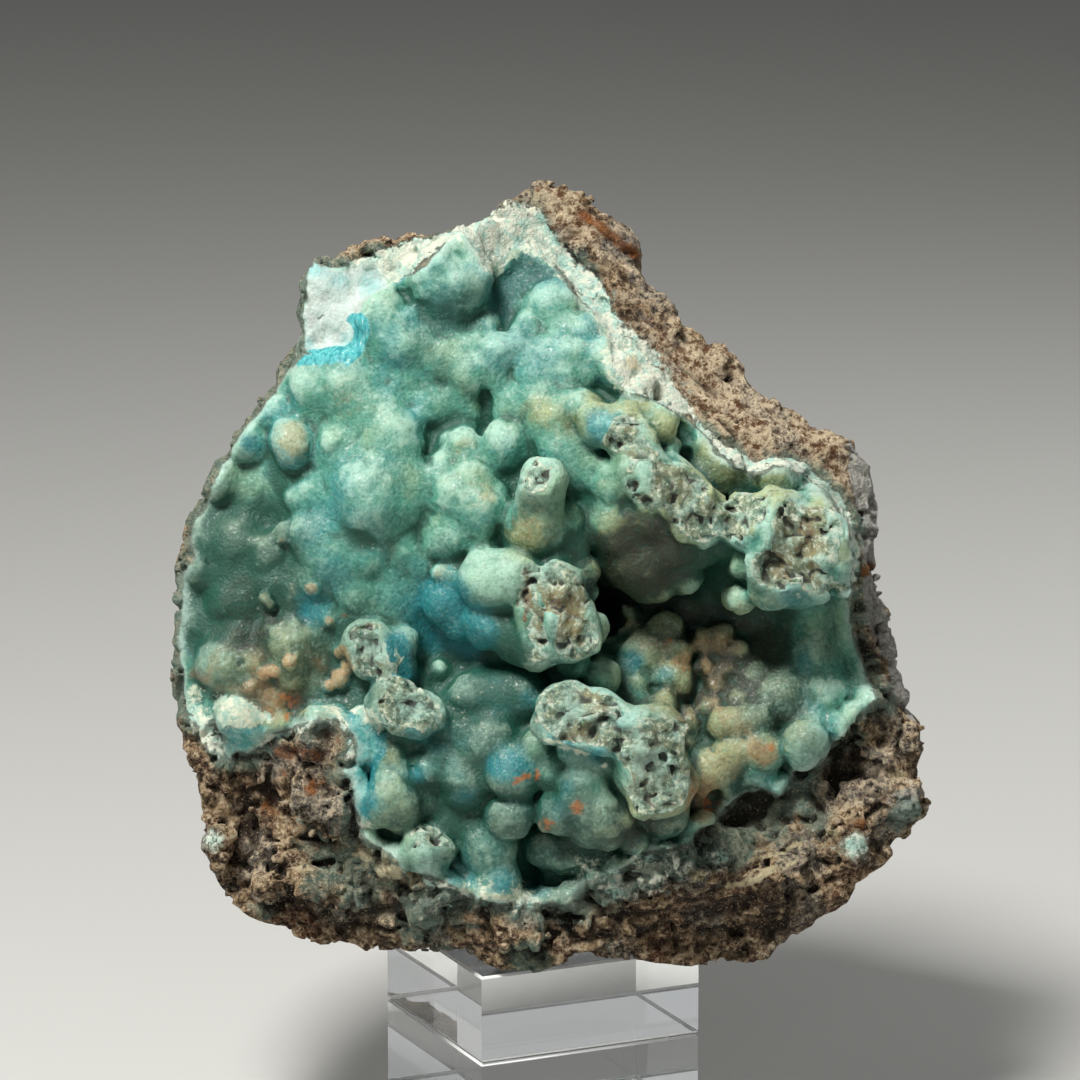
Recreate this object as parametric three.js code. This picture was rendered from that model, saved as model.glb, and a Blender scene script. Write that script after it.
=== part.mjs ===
// A hemimorphite specimen: a botryoidal blue-green crust on brown porous rock, resting on two
// clear acrylic blocks. Millimetres, +Z up, the crust faces -Y. The origin is at the centre of
// the lower block's underside.

import * as THREE from 'three';
import { mergeVertices } from 'three/addons/utils/BufferGeometryUtils.js';

// The stand: two square blocks, one on the other, turned a little about the upright.
const blockSide = 40;
const blockHeight = 14.9;
const blockChamfer = 0.4;
const blockTurn = THREE.MathUtils.degToRad(24.4);
const airGap = 0.2;
const restingGap = 0.3;
const upperUnderside = blockHeight + airGap;
const restingHeight = upperUnderside + blockHeight + restingGap;

// The stone leans back. Its own axes are u across, v up its face and w out of its face, and
// stoneOrigin is where all three are 0.
const stoneLean = THREE.MathUtils.degToRad(13);
const stoneOrigin = new THREE.Vector3(0.6, -14, 95.56);
const stoneLow = [-66, -70, -50];
const stoneHigh = [68, 70, 26];
const cellSize = [3.3, 3.3, 4.8];

// How the back bulges: its depth at the rim, how much deeper the middle is, and how far in
// from the rim the bulge is complete.
const backRimDepth = 16;
const backBulge = 29;
const backReach = 30;
// The sides draw in behind sideStart: by sideDraw mm for each mm of depth squared.
const sideStart = -8;
const sideDraw = 0.005;
const faceRounding = 1.6;
const backRounding = 8;
const rimRounding = 0.4;
// A swelling's root is a little thinner than its crest and leans towards the stone's middle.
const rootThickness = 0.85;
const rootLean = 0.97;
const rootRounding = 0.6;
const swellingRoot = 2.4;
const brokenRoot = 3.4;
// How softly a swelling and a broken lump run into the face, and how sharp a break is.
const swellingBlend = 0.45;
const widestBlend = 2.6;
const lumpBlend = 1;
const breakRounding = 0.5;
// A hollow widens to the front, and runs that many radii out.
const hollowSpread = 1.02;
const hollowReach = 2.5;
const hollowRounding = 0.4;
// Waves of the bare rock, which has no swellings.
const rockWave = 0.8;
const rockWaveLength = 14;

// The stone's outline seen square to its face, clockwise from the peak: [u, v].
const outline = [
  [-3, 64], [-1, 65.3], [3, 64.7], [6, 63.7], [10.5, 59.7], [15, 56], [16, 53.5], [17, 48],
  [20.8, 45.2], [22.2, 42.4], [26.6, 38], [29.8, 38], [33.5, 34.5], [34.6, 30.5], [42, 26.5],
  [44, 24.2], [50.9, 22.3], [54.8, 15], [54.5, 5], [57, -7], [58.8, -15], [60.8, -23.5],
  [62.5, -25.5], [62.5, -28.5], [61.2, -32], [63.6, -38], [59, -44], [51.5, -50.3], [49.5, -54],
  [40, -60.3], [36.5, -64], [31, -65], [15, -63.4], [5.5, -62.4], [-4, -65.6], [-13, -62.8],
  [-31, -62], [-43, -59], [-53, -53], [-56.6, -45], [-56.4, -38], [-60.8, -25], [-61.5, -18],
  [-61, -6], [-61.7, -1], [-59.5, 8], [-51, 23.8], [-44.6, 31.5], [-40.1, 40], [-39.8, 46.5],
  [-38, 51.8], [-32, 54.4], [-27, 55.7], [-17.5, 55.9], [-8.5, 60],
];

// Where the crust ends and bare rock begins, clockwise from the upper left: [u, v].
const crustEdge = [
  [-40, 36], [-31, 40], [-30.6, 45], [-19, 51.5], [-14.5, 55.8], [-7.8, 50], [-3.6, 54.8],
  [4.6, 47], [10, 39.2], [9.7, 33.4], [21, 26.6], [34, 16.2], [42, 16.2], [49, 8], [49, -4],
  [54.6, -20.2], [41, -33], [26, -41], [13.5, -47], [4, -54.5], [-12, -52], [-26, -45.4],
  [-30.6, -38], [-33, -31.4], [-33.5, -23], [-46, -26.4], [-52, -29.6], [-59, -21.5],
  [-59.8, -0.5], [-57.4, 8.5], [-48.6, 25],
];

// The broad relief of the face, under the swellings: [u, v, height].
const reliefSpread = 4.6;
const relief = [
  // The bare upper slope, falling to the right.
  [-1.5, 62, -3], [6, 60, -3], [12.5, 54, -2], [20, 44, -2], [27, 36, -2], [33, 32, -4],
  [42.5, 24, -3], [50, 19, -5], [10, 41, 4], [16, 33, 6], [24, 26, 6], [31, 19, 5], [38, 18, 5],
  [45, 15, 3], [49, 8, 2],
  // The right wall and the lower right rock.
  [54, 8, -7], [50, 0, 1], [51, -9, 0], [55.5, -3, -8], [57, -12, -9], [59.5, -21, -7],
  [54, -20, 1], [58, -28, -1], [50, -30, -6], [62, -38, -5], [58, -38, -1], [50, -44, 1],
  [45, -38, -3], [44, -50, -1], [50, -48, -3], [40, -58, -8], [30, -60, -9], [20, -60, -8],
  // The lower edge.
  [18, -54, -2], [10, -58, -3], [28, -50, 1], [36, -50, 0], [-4, -60, 0], [-4, -64, -5],
  [-16, -54, 2], [-20, -60, -5], [-32, -50, 1], [-35, -58, -6], [-42, -47, -1], [-45, -57, -6],
  [-50, -40, -4], [-55, -40, -4], [-53, -50, -5], [-52, -33, -1], [-40, -38, 1],
  // The left rim and the pale facet at the upper left.
  [-59, -22, -3], [-61, -14, -4], [-60, -4, -4], [-57, 6, -3], [-49, 22, -1], [-42, 31, 0],
  [-35, 44, 3], [-38, 48, 3], [-33, 38, 3], [-37, 40, 3], [-30, 53, 0], [-20, 55, 0],
  [-10, 57, 1], [-13, 52, 3],
  // The upper field, with the recess under the peak.
  [-24, 44, 3], [-15, 44, 1], [-12, 40, 2], [0, 50, -3], [-4, 47, -2], [5, 44, 0], [0, 41, 2],
  [8, 37, 4], [-17, 37, 4], [-25, 36, 3], [-33, 30, 4], [-38, 24, 3], [-27, 22, 7],
  [-15, 25, -2], [-6, 27, 4], [0, 31, 6],
  // The left field.
  [-47, 16, 0], [-47, 11, -3], [-40, 17, 4], [-28, 12, 9], [-34, 4, 5], [-24, 2, 5],
  [-44, 3, 1], [-52, 4, -1], [-54, -3, -4], [-48, -8, -2], [-38, -6, 2], [-30, -5, 4],
  [-54, -14, 0], [-42, -12, 3], [-34, -15, 0], [-46, -20, 2], [-51, -26, 0], [-36, -27, 3],
  [-30, -28, 4], [-26, -12, 4], [-22, -22, 4],
  // The middle.
  [-17, -14, -1], [-10, -15, 1], [-7, -12, 2], [-10, 10, 7], [-15, 5, 6], [-2, 8, 6],
  [-8, 0, 6], [1, -5, 6], [4, 18, 4], [12, 24, 7], [20, 16, 6], [5, -17, 2], [-8, -26, 2],
  [-17, -33, 1], [-24, -38, 0], [-12, -41, -3], [-5, -36, 3], [7, -35, 6], [3, -46, -13],
  [9, -47, -9], [-9, -48, 1], [18, -38, 2], [18, -30, 8], [6, -23, 8], [19, -48, 2],
  [25, -44, 0],
  // The deep hollow right of the middle, and the lump beyond it.
  [6, 10, -7], [7, -3, -16], [15, 3, 0], [15, -6, -12], [25, -6, -14], [33, -8, -12],
  [28, -14, -8], [18, -14, -5], [15, -22, -3], [26, -22, -8], [36, -18, -4], [43, -12, -8],
  [47, -17, -5], [40, -24, -4], [30, -30, -3], [25, -37, -6], [36, -32, -2], [34, -39, -8],
  [28, 17, 3], [38, 12, 5], [40, 3, 5], [33, 0, 0], [46, 4, 3],
];

// Round swellings: [u, v, radius, height of the top], and for a long one also its far end:
// [u, v, radius, height, far u, far v, far height].
const swellings = [
  // The upper field.
  [-15, 49.5, 6.8, 8.5], [-27, 42.5, 5, 6.8], [-22.5, 38, 6.5, 7.5], [-17.5, 35.5, 4, 7],
  [-22, 32.5, 5, 6.2], [-33, 30.5, 8.5, 7.5], [1, 45, 5, 4.6], [2, 39.5, 3, 5.6],
  [-13, 33.5, 3.6, 8.2, -7, 36, 8], [-4, 36.5, 3.6, 8, 4, 36, 8.5], [8, 36, 3.4, 8],
  [-2, 33, 3.8, 8.8], [3, 33.5, 3.4, 8.6], [-5.5, 28, 4.8, 7.8], [-13.5, 28.5, 4.5, 4.6],
  // The left field.
  [-25, 22.5, 6, 9.5], [-34, 21.5, 5.5, 8], [-30, 26, 4, 7.5], [-41.5, 21.5, 4.2, 8.4],
  [-37, 14.5, 3.5, 7], [-28, 13, 9.5, 12.5], [-21.5, 13, 5.5, 11], [-34.5, 5, 6.8, 9],
  [-30, 3.2, 4, 8.5], [-38, 6, 4.5, 7.5], [-22.5, 5, 4.4, 8.5], [-18, 9, 4, 9.5],
  [-44.5, 3, 4.5, 4.4], [-51.5, 5, 6, 2.8], [-46, -1.2, 4.2, 4.6], [-38.5, -1.2, 4.6, 5.6],
  [-33, -0.5, 3.4, 6.5], [-30.5, -3.5, 4.6, 7], [-25.5, -4, 3.6, 6.6], [-53, -15, 4.4, 4.2],
  [-41.5, -11.8, 5.6, 6.6], [-50, -22.5, 4.2, 4.2],
  // The lobes round the broken column.
  [-12.5, 20, 5.5, 10], [-7.5, 21, 4.4, 11], [-15.5, 13.5, 5, 12], [-10.5, 11, 5, 13],
  [-16, 6.5, 4.6, 11.5], [-10, 5.5, 3.4, 10.5], [-20, 2.5, 3.6, 8], [-2, 8, 5.4, 15],
  [2.5, 9, 3.8, 13], [1.5, 3, 3.8, 12.5], [6.3, 0.8, 2.5, 11.5], [-9, -8, 4.5, 12.5],
  [-5, -9.5, 4.5, 13], [-16, -4, 4.6, 9], [-14, -7, 3.6, 8], [7.6, -9, 2.8, 11.5],
  [4.5, -14, 2.8, 10.5], [9.3, -16.6, 3.2, 9],
  // The lower middle.
  [-12, -20, 5, 8, -4, -19.5, 8.5], [-16, -26, 3.6, 6.5], [-8.5, -28, 5.2, 9.5],
  [-13.5, -32, 5.4, 8.5], [-19.5, -32, 4.4, 6.5], [-5.3, -31.3, 4.9, 12],
  [-1.5, -28, 3.5, 10.5], [-5.5, -39, 4.1, 9.5], [5.5, -32.8, 5, 12.5], [9, -34, 4, 12],
  [4.5, -39, 4.6, 11.5], [10.5, -39, 5, 12], [19, -38, 5, 8.5], [-9.5, -46, 5.4, 5.5],
  [-8, -51, 4, 4.5], [-25.5, -28, 4, 7, -25, -36.5, 9], [-25, -37, 4.3, 9.5],
  // The arch over the hollow, and the dome that hangs in it.
  [2, 25, 5.4, 10.5], [-1, 28.5, 4, 9], [6.5, 26.5, 4, 11.5], [14, 26, 3.2, 12.5, 19, 24, 12.5],
  [6, 17, 5.6, 9.5], [10, 14, 4, 7], [15, 3.5, 8.8, 9.5], [9, 7.5, 3.8, 7.5], [22, 4, 4, 6],
  [16, -1, 5, 6.5], [28.5, 17, 5.6, 8], [32.5, 15, 4, 7], [38, 14.6, 4.6, 8.5],
  // Right of the hollow and down in it.
  [33, 2, 3, 11.5], [46.2, 2, 3.2, 8.5], [28, -12.8, 4.4, -3.5], [24.5, -5.5, 5.5, -7.5],
  [18.7, -10.3, 3.6, -2.2], [15, -14, 4.2, -1.5], [20.5, -16.5, 4.4, 0], [18, -22, 3.6, 2],
  [35.2, -18.7, 4.2, -1], [40, -21.6, 4.4, 2], [46.5, -19, 4.4, 0.5],
  [29, -24.6, 2.8, 2.5, 36, -24.4, 2.5], [27.5, -31.8, 3.4, 3.5, 37, -29.3, 5],
  [42.4, -28, 3.4, 5.5],
  // Lumps of the bare rock along the lower edge.
  [-20, -54, 4, 3.5], [-4, -57, 5, 3], [8, -56.5, 3.5, 1], [50, -44, 4, 3], [59.5, -37, 3.6, 2],
];

// Long lumps that broke off flat: [u, v, radius, height, far u, far v, far height, the cut's
// lean across, its lean up, its depth below the full height].
const brokenLumps = [
  [-1.2, 7.5, 4.5, 17, -0.8, 14.6, 20, 0.15, 0.55, 1.6],
  [-9.5, -2, 5.6, 16, -5, -2, 17.2, -0.25, 0.7, 0.4],
  [1.6, -1.5, 5.4, 18.5, 4.4, -10, 18, 0.35, 0, 2.4],
  [3, -23, 5.2, 20, 9, -23.5, 20.5, 0, 0.35, 2.2],
  [17, -28, 6.9, 21.5, 18, -31.5, 21, 0.1, -0.05, 2.6],
  [8.2, 24.3, 4, 15.5, 12.8, 24.3, 16.5, 0, 0.45, 1.2],
  [13.3, 21, 4.8, 17, 15.5, 19.6, 16.5, 0.1, 0.1, 1.6],
  [17.5, 17.5, 4.4, 16.5, 25, 9.3, 15.5, 0.2, 0.35, 1.8],
  [31.5, 9.6, 4.4, 14.5, 36.5, 9.8, 15, 0, 0.5, 1.6],
  [40, 8, 5.2, 16, 44.3, 6, 15, 0.15, 0.2, 2],
  [38, 0.3, 4.6, 15, 42.5, 0.6, 14, 0.1, -0.1, 1.8],
  [-28.2, -11, 4.6, 11, -27, -13.3, 11, -0.4, 0.2, 1.6],
  [-24.6, -20.4, 3.7, 12.5, -19.3, -24, 12.5, 0, 0.35, 1.5],
  [-36.5, -35, 5.2, 9, -35.5, -36, 9, 0, 0.1, 2.2],
];

// Round hollows, open to the front: [u, v, radius, height of the centre].
const hollows = [
  [6.5, -4, 3.6, -9], [8, -6, 4.5, -15], [-15, 24.6, 3.6, 1], [2, -47, 4.5, -1], [9, -48, 4, -3],
  [1, 50, 3, 2], [34.5, -38.5, 3.4, -3], [50, -31, 4.5, -3], [-48, -39, 3.4, -1.5],
];

function smoothMin(a, b, blend) {
  const share = THREE.MathUtils.clamp(0.5 + 0.5 * (b - a) / blend, 0, 1);
  return b * (1 - share) + a * share - blend * share * (1 - share);
}

function smoothMax(a, b, blend) {
  return -smoothMin(-a, -b, blend);
}

// The distance from [u, v] to a closed outline, negative inside it.
function distanceToOutline(points, u, v) {
  let nearest = Infinity;
  let inside = false;
  points.forEach(([u0, v0], index) => {
    const [u1, v1] = points[(index + 1) % points.length];
    const du = u1 - u0;
    const dv = v1 - v0;
    const along = THREE.MathUtils.clamp(((u - u0) * du + (v - v0) * dv) / (du * du + dv * dv), 0, 1);
    nearest = Math.min(nearest, Math.hypot(u - u0 - along * du, v - v0 - along * dv));
    if ((v0 > v) !== (v1 > v) && u < u0 + (v - v0) * du / dv) inside = !inside;
  });
  return inside ? -nearest : nearest;
}

// The height of the broad relief at [u, v]: a mean of the heights around, weighted by nearness.
function reliefHeight(u, v) {
  let total = 0;
  let weights = 1e-9;
  for (const [atU, atV, height] of relief) {
    const apart = (u - atU) ** 2 + (v - atV) ** 2;
    const weight = Math.exp(-apart / (2 * reliefSpread ** 2));
    total += weight * height;
    weights += weight;
  }
  return total / weights;
}

// The distance to a round bar between two points, as a function of the place.
function bar(start, end, radius) {
  const from = new THREE.Vector3(...start);
  const span = new THREE.Vector3(...end).sub(from);
  const lengthSquared = Math.max(span.lengthSq(), 1e-9);
  const offset = new THREE.Vector3();
  return (place) => {
    offset.subVectors(place, from);
    const along = THREE.MathUtils.clamp(offset.dot(span) / lengthSquared, 0, 1);
    return offset.addScaledVector(span, -along).length() - radius;
  };
}

// A swelling is a bar along its crest, with a root that narrows and runs back into the stone.
function swelling([u, v, radius, height, farU = u, farV = v, farHeight = height], rootLength) {
  const crest = bar([u, v, height - radius], [farU, farV, farHeight - radius], radius);
  const ends = [[u, v, height], [farU, farV, farHeight]];
  const roots = ends.map(([endU, endV, endHeight]) => {
    const back = endHeight - rootLength * radius;
    const foot = [rootLean * endU, rootLean * endV, back];
    return bar([endU, endV, endHeight - radius], foot, rootThickness * radius);
  });
  return (place) => {
    const rootDistance = Math.min(roots[0](place), roots[1](place));
    return smoothMin(crest(place), rootDistance, rootRounding);
  };
}

// A broken lump is a long swelling cut by a plane that follows its crest.
function brokenLump([u, v, radius, height, farU, farV, farHeight, leanU, leanV, depth]) {
  const whole = swelling([u, v, radius, height, farU, farV, farHeight], brokenRoot);
  const crest = new THREE.Vector3(farU - u, farV - v, farHeight - height);
  const normal = new THREE.Vector3(leanU, leanV, 1);
  if (crest.length() > 2) normal.addScaledVector(crest, -normal.dot(crest) / crest.lengthSq());
  normal.normalize();
  const middle = new THREE.Vector3((u + farU) / 2, (v + farV) / 2, (height + farHeight) / 2 - depth);
  const reach = normal.dot(middle);
  return (place) => smoothMax(whole(place), normal.dot(place) - reach, breakRounding);
}

function rockRipple(place) {
  const turn = 2 * Math.PI / rockWaveLength;
  const across = Math.sin(turn * (place.x + 0.6 * place.z)) * Math.sin(turn * (place.y - 0.4 * place.x));
  const deep = Math.sin(turn * (0.7 * place.y + place.z)) * Math.sin(turn * 0.6 * place.x);
  return rockWave * (across + deep);
}

// The signed distance to the stone's surface, negative inside, at a place in its own axes.
function makeStone() {
  const domes = swellings.map((values) => ({ radius: values[2], at: swelling(values, swellingRoot) }));
  const lumps = brokenLumps.map(brokenLump);
  const pits = hollows.map(([u, v, radius, height]) => {
    const mouth = [hollowSpread * u, hollowSpread * v, height + hollowReach * radius];
    return { radius, at: bar([u, v, height], mouth, radius) };
  });
  return (place) => {
    const rim = distanceToOutline(outline, place.x, place.y);
    const front = reliefHeight(place.x, place.y);
    const inward = THREE.MathUtils.clamp(-rim / backReach, 0, 1);
    const back = -backRimDepth - backBulge * Math.sqrt(1 - (1 - inward) ** 2);
    const side = rim + sideDraw * Math.min(place.z - sideStart, 0) ** 2;
    const bare = THREE.MathUtils.smoothstep(distanceToOutline(crustEdge, place.x, place.y), -1, 1);
    const covered = (1 - bare) * THREE.MathUtils.smoothstep(place.z, front - 6, front - 3);

    let distance = smoothMax(side, 0.85 * (place.z - front), faceRounding);
    distance = smoothMax(distance, 0.8 * (back - place.z), backRounding);
    distance += (1 - covered) * rockRipple(place);
    for (const dome of domes) {
      distance = smoothMin(distance, dome.at(place), Math.min(swellingBlend * dome.radius, widestBlend));
    }
    for (const lump of lumps) distance = smoothMin(distance, lump(place), lumpBlend);
    for (const pit of pits) {
      distance = smoothMax(distance, -pit.at(place), hollowRounding * pit.radius);
    }
    return smoothMax(distance, rim, rimRounding);
  };
}

// The eight corners of a grid cell, and its twelve edges as pairs of corners.
const corners = [0, 1, 2, 3, 4, 5, 6, 7].map((code) => [code & 1, (code >> 1) & 1, code >> 2]);
const cellEdges = [];
for (let a = 0; a < 8; a += 1) {
  for (const step of [1, 2, 4]) {
    if (!(a & step)) cellEdges.push([a, a | step]);
  }
}
const cellFaces = [[1, 2], [2, 4], [1, 4]].flatMap(([p, q]) => {
  return [0, 7 ^ p ^ q].map((base) => [base, base | p, base | q, base | p | q]);
});

// True where the surface would meet itself in a cell: its inside corners, or its outside
// ones, are not all joined along edges, or a face has alternate corners inside.
function surfacePinches(isInside) {
  const pinchedFace = cellFaces.some(([a, b, c, d]) => {
    return isInside[a] === isInside[d] && isInside[b] === isInside[c] && isInside[a] !== isInside[b];
  });
  if (pinchedFace) return true;
  return [true, false].some((side) => {
    const members = corners.map((_, index) => index).filter((index) => isInside[index] === side);
    const reached = new Set(members.slice(0, 1));
    for (let pass = 0; pass < 8; pass += 1) {
      for (const [a, b] of cellEdges) {
        if (isInside[a] !== side || isInside[b] !== side) continue;
        if (reached.has(a) || reached.has(b)) reached.add(a).add(b);
      }
    }
    return reached.size < members.length;
  });
}

// Marks the samples on the same side of the surface as the first one that steps along the
// grid lead to without crossing the surface.
function joinedSamples(samples, stride, first) {
  const side = samples[first] < 0;
  const marks = new Uint8Array(samples.length);
  const waiting = [first];
  marks[first] = 1;
  while (waiting.length) {
    const index = waiting.pop();
    for (const step of [...stride, ...stride.map((value) => -value)]) {
      const next = index + step;
      if (next < 0 || next >= samples.length || marks[next]) continue;
      if ((samples[next] < 0) !== side) continue;
      marks[next] = 1;
      waiting.push(next);
    }
  }
  return marks;
}

// Turns a signed distance into a closed mesh: one vertex in each cell that the surface
// crosses, and one quad round each grid line that it crosses.
function polygonise(distance, low, high, cell) {
  const counts = low.map((value, axis) => Math.ceil((high[axis] - value) / cell[axis]) + 1);
  const stride = [1, counts[0], counts[0] * counts[1]];
  const samples = new Float64Array(counts[0] * counts[1] * counts[2]);
  const place = new THREE.Vector3();
  const forEachCell = (visit) => {
    for (let k = 0; k < counts[2] - 1; k += 1) {
      for (let j = 0; j < counts[1] - 1; j += 1) {
        for (let i = 0; i < counts[0] - 1; i += 1) visit(i, j, k);
      }
    }
  };
  samples.forEach((_, index) => {
    const i = index % counts[0];
    const j = Math.floor(index / stride[1]) % counts[1];
    const k = Math.floor(index / stride[2]);
    place.fromArray([i, j, k].map((step, axis) => low[axis] + step * cell[axis]));
    samples[index] = distance(place);
  });
  const cornerIndex = (i, j, k) => corners.map(([a, b, c]) => {
    return (i + a) * stride[0] + (j + b) * stride[1] + (k + c) * stride[2];
  });

  // Fill any space that no way leads out of, and drop any scrap that nothing joins.
  const barelyInside = -0.05 * cell[0];
  const deepest = samples.reduce((best, value, index) => (value < samples[best] ? index : best), 0);
  const open = joinedSamples(samples, stride, 0);
  const joined = joinedSamples(samples, stride, deepest);
  samples.forEach((value, index) => {
    if (value >= 0 && !open[index]) samples[index] = barelyInside;
    if (value < 0 && !joined[index]) samples[index] = -barelyInside;
  });

  // Fill the nearest outside corner of each cell where the surface would meet itself.
  let changed = true;
  while (changed) {
    changed = false;
    forEachCell((i, j, k) => {
      const indices = cornerIndex(i, j, k);
      const isInside = indices.map((index) => samples[index] < 0);
      if (isInside.every((value) => value === isInside[0]) || !surfacePinches(isInside)) return;
      const outside = indices.filter((index) => samples[index] >= 0);
      const nearest = outside.reduce((best, index) => (samples[index] < samples[best] ? index : best));
      samples[nearest] = barelyInside;
      changed = true;
    });
  }

  const positions = [];
  const vertexOfCell = new Map();
  const margin = 0.02;
  forEachCell((i, j, k) => {
    const indices = cornerIndex(i, j, k);
    const sum = [0, 0, 0];
    let crossings = 0;
    for (const [a, b] of cellEdges) {
      const valueA = samples[indices[a]];
      const valueB = samples[indices[b]];
      if ((valueA < 0) === (valueB < 0)) continue;
      const share = valueA / (valueA - valueB);
      for (let axis = 0; axis < 3; axis += 1) {
        sum[axis] += corners[a][axis] + share * (corners[b][axis] - corners[a][axis]);
      }
      crossings += 1;
    }
    if (!crossings) return;
    vertexOfCell.set(indices[0], positions.length / 3);
    [i, j, k].forEach((start, axis) => {
      const within = THREE.MathUtils.clamp(sum[axis] / crossings, margin, 1 - margin);
      positions.push(low[axis] + (start + within) * cell[axis]);
    });
  });

  const pointAt = (vertex) => new THREE.Vector3().fromArray(positions, 3 * vertex);
  const triangles = [];
  forEachCell((i, j, k) => {
    const index = i * stride[0] + j * stride[1] + k * stride[2];
    for (let axis = 0; axis < 3; axis += 1) {
      const across = stride[(axis + 1) % 3];
      const up = stride[(axis + 2) % 3];
      const startsInside = samples[index] < 0;
      if (startsInside === samples[index + stride[axis]] < 0) continue;
      const ring = [index, index - across, index - across - up, index - up];
      if (!startsInside) ring.reverse();
      const [a, b, c, d] = ring.map((key) => vertexOfCell.get(key));
      if (pointAt(a).distanceTo(pointAt(c)) < pointAt(b).distanceTo(pointAt(d))) {
        triangles.push(a, b, c, a, c, d);
      } else {
        triangles.push(a, b, d, b, c, d);
      }
    }
  });
  const geometry = new THREE.BufferGeometry();
  geometry.setAttribute('position', new THREE.Float32BufferAttribute(positions, 3));
  geometry.setIndex(triangles);
  return geometry;
}

function makeSpecimen() {
  const stone = makeStone();
  const rise = Math.cos(stoneLean);
  const tip = Math.sin(stoneLean);
  // Nothing of the stone hangs lower than the block that carries it.
  const standing = (place) => {
    const height = stoneOrigin.z + place.y * rise + place.z * tip;
    return Math.max(stone(place), restingHeight - height);
  };
  const geometry = polygonise(standing, stoneLow, stoneHigh, cellSize);
  // From the stone's u, v, w to its x, z and -y.
  geometry.rotateX(Math.PI / 2);
  const material = new THREE.MeshStandardMaterial({ color: 0x6f9c8c, roughness: 0.55, metalness: 0 });
  const mesh = new THREE.Mesh(geometry, material);
  mesh.name = 'specimen';
  mesh.rotation.x = -stoneLean;
  mesh.position.copy(stoneOrigin);
  return mesh;
}

function makeBlock(name, underside) {
  const half = blockSide / 2 - blockChamfer;
  const square = new THREE.Shape([
    new THREE.Vector2(-half, -half),
    new THREE.Vector2(half, -half),
    new THREE.Vector2(half, half),
    new THREE.Vector2(-half, half),
  ]);
  const geometry = new THREE.ExtrudeGeometry(square, {
    depth: blockHeight - 2 * blockChamfer,
    bevelEnabled: true,
    bevelThickness: blockChamfer,
    bevelSize: blockChamfer,
    bevelSegments: 1,
    steps: 1,
  });
  geometry.deleteAttribute('normal');
  geometry.deleteAttribute('uv');
  geometry.translate(0, 0, blockChamfer);
  const material = new THREE.MeshStandardMaterial({ color: 0xe6eaec, roughness: 0.05, metalness: 0 });
  const mesh = new THREE.Mesh(mergeVertices(geometry, 1e-3), material);
  mesh.name = name;
  mesh.rotation.z = blockTurn;
  mesh.position.z = underside;
  return mesh;
}

const group = new THREE.Group();
group.add(makeBlock('stand_block_lower', 0));
group.add(makeBlock('stand_block_upper', upperUnderside));
group.add(makeSpecimen());

export default group;
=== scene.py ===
import math
import time
import bpy
import numpy as np
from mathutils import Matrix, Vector


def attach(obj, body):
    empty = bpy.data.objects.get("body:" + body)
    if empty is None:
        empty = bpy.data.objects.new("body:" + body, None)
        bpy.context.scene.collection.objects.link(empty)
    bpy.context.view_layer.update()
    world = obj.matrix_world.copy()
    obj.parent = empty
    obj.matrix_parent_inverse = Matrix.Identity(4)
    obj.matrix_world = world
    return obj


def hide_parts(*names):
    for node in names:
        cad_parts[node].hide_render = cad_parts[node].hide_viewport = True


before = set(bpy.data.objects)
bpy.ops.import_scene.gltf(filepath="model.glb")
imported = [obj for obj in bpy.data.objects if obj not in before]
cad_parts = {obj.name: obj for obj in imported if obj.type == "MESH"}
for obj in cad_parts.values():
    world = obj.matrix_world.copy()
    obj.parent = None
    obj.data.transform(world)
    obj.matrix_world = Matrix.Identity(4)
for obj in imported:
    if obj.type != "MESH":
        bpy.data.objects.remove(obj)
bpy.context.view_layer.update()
startTime = time.time()


def tell(stage):
    print(f"{stage}, {time.time() - startTime:.0f} s")


# the stone is drawn in its face's own millimetres: u right, v up, w out of the face
face = {
    "origin": (0.6, -14, 95.56),  # in the frame, in millimetres
    "lean": math.radians(13),  # the face leans back
    "low": (-66, -70, -50),  # corners of the grid that holds the stone
    "high": (68, 70, 26),
    "step": 0.5,
    "restHeight": 30.1,  # of the flat underside above the floor
    "rimDepth": 16,  # how thick the stone is at its edge
    "backBulge": 29,  # and how much thicker further in
    "backReach": 30,  # the way in to where it is thickest
    "sideDraw": 0.005,
    "skin": 3.2,  # small bumps are worked out this near the surface
    "deepestPit": 2.6,
    "highestBump": 2.8,
    "noiseSeed": 11,
    "pointSeed": 12,
    "nearness": {"closeness": 2.2, "crease": 1.1, "shelter": 7},  # how far round each point is looked at
    "triangles": 196000,
}

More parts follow.
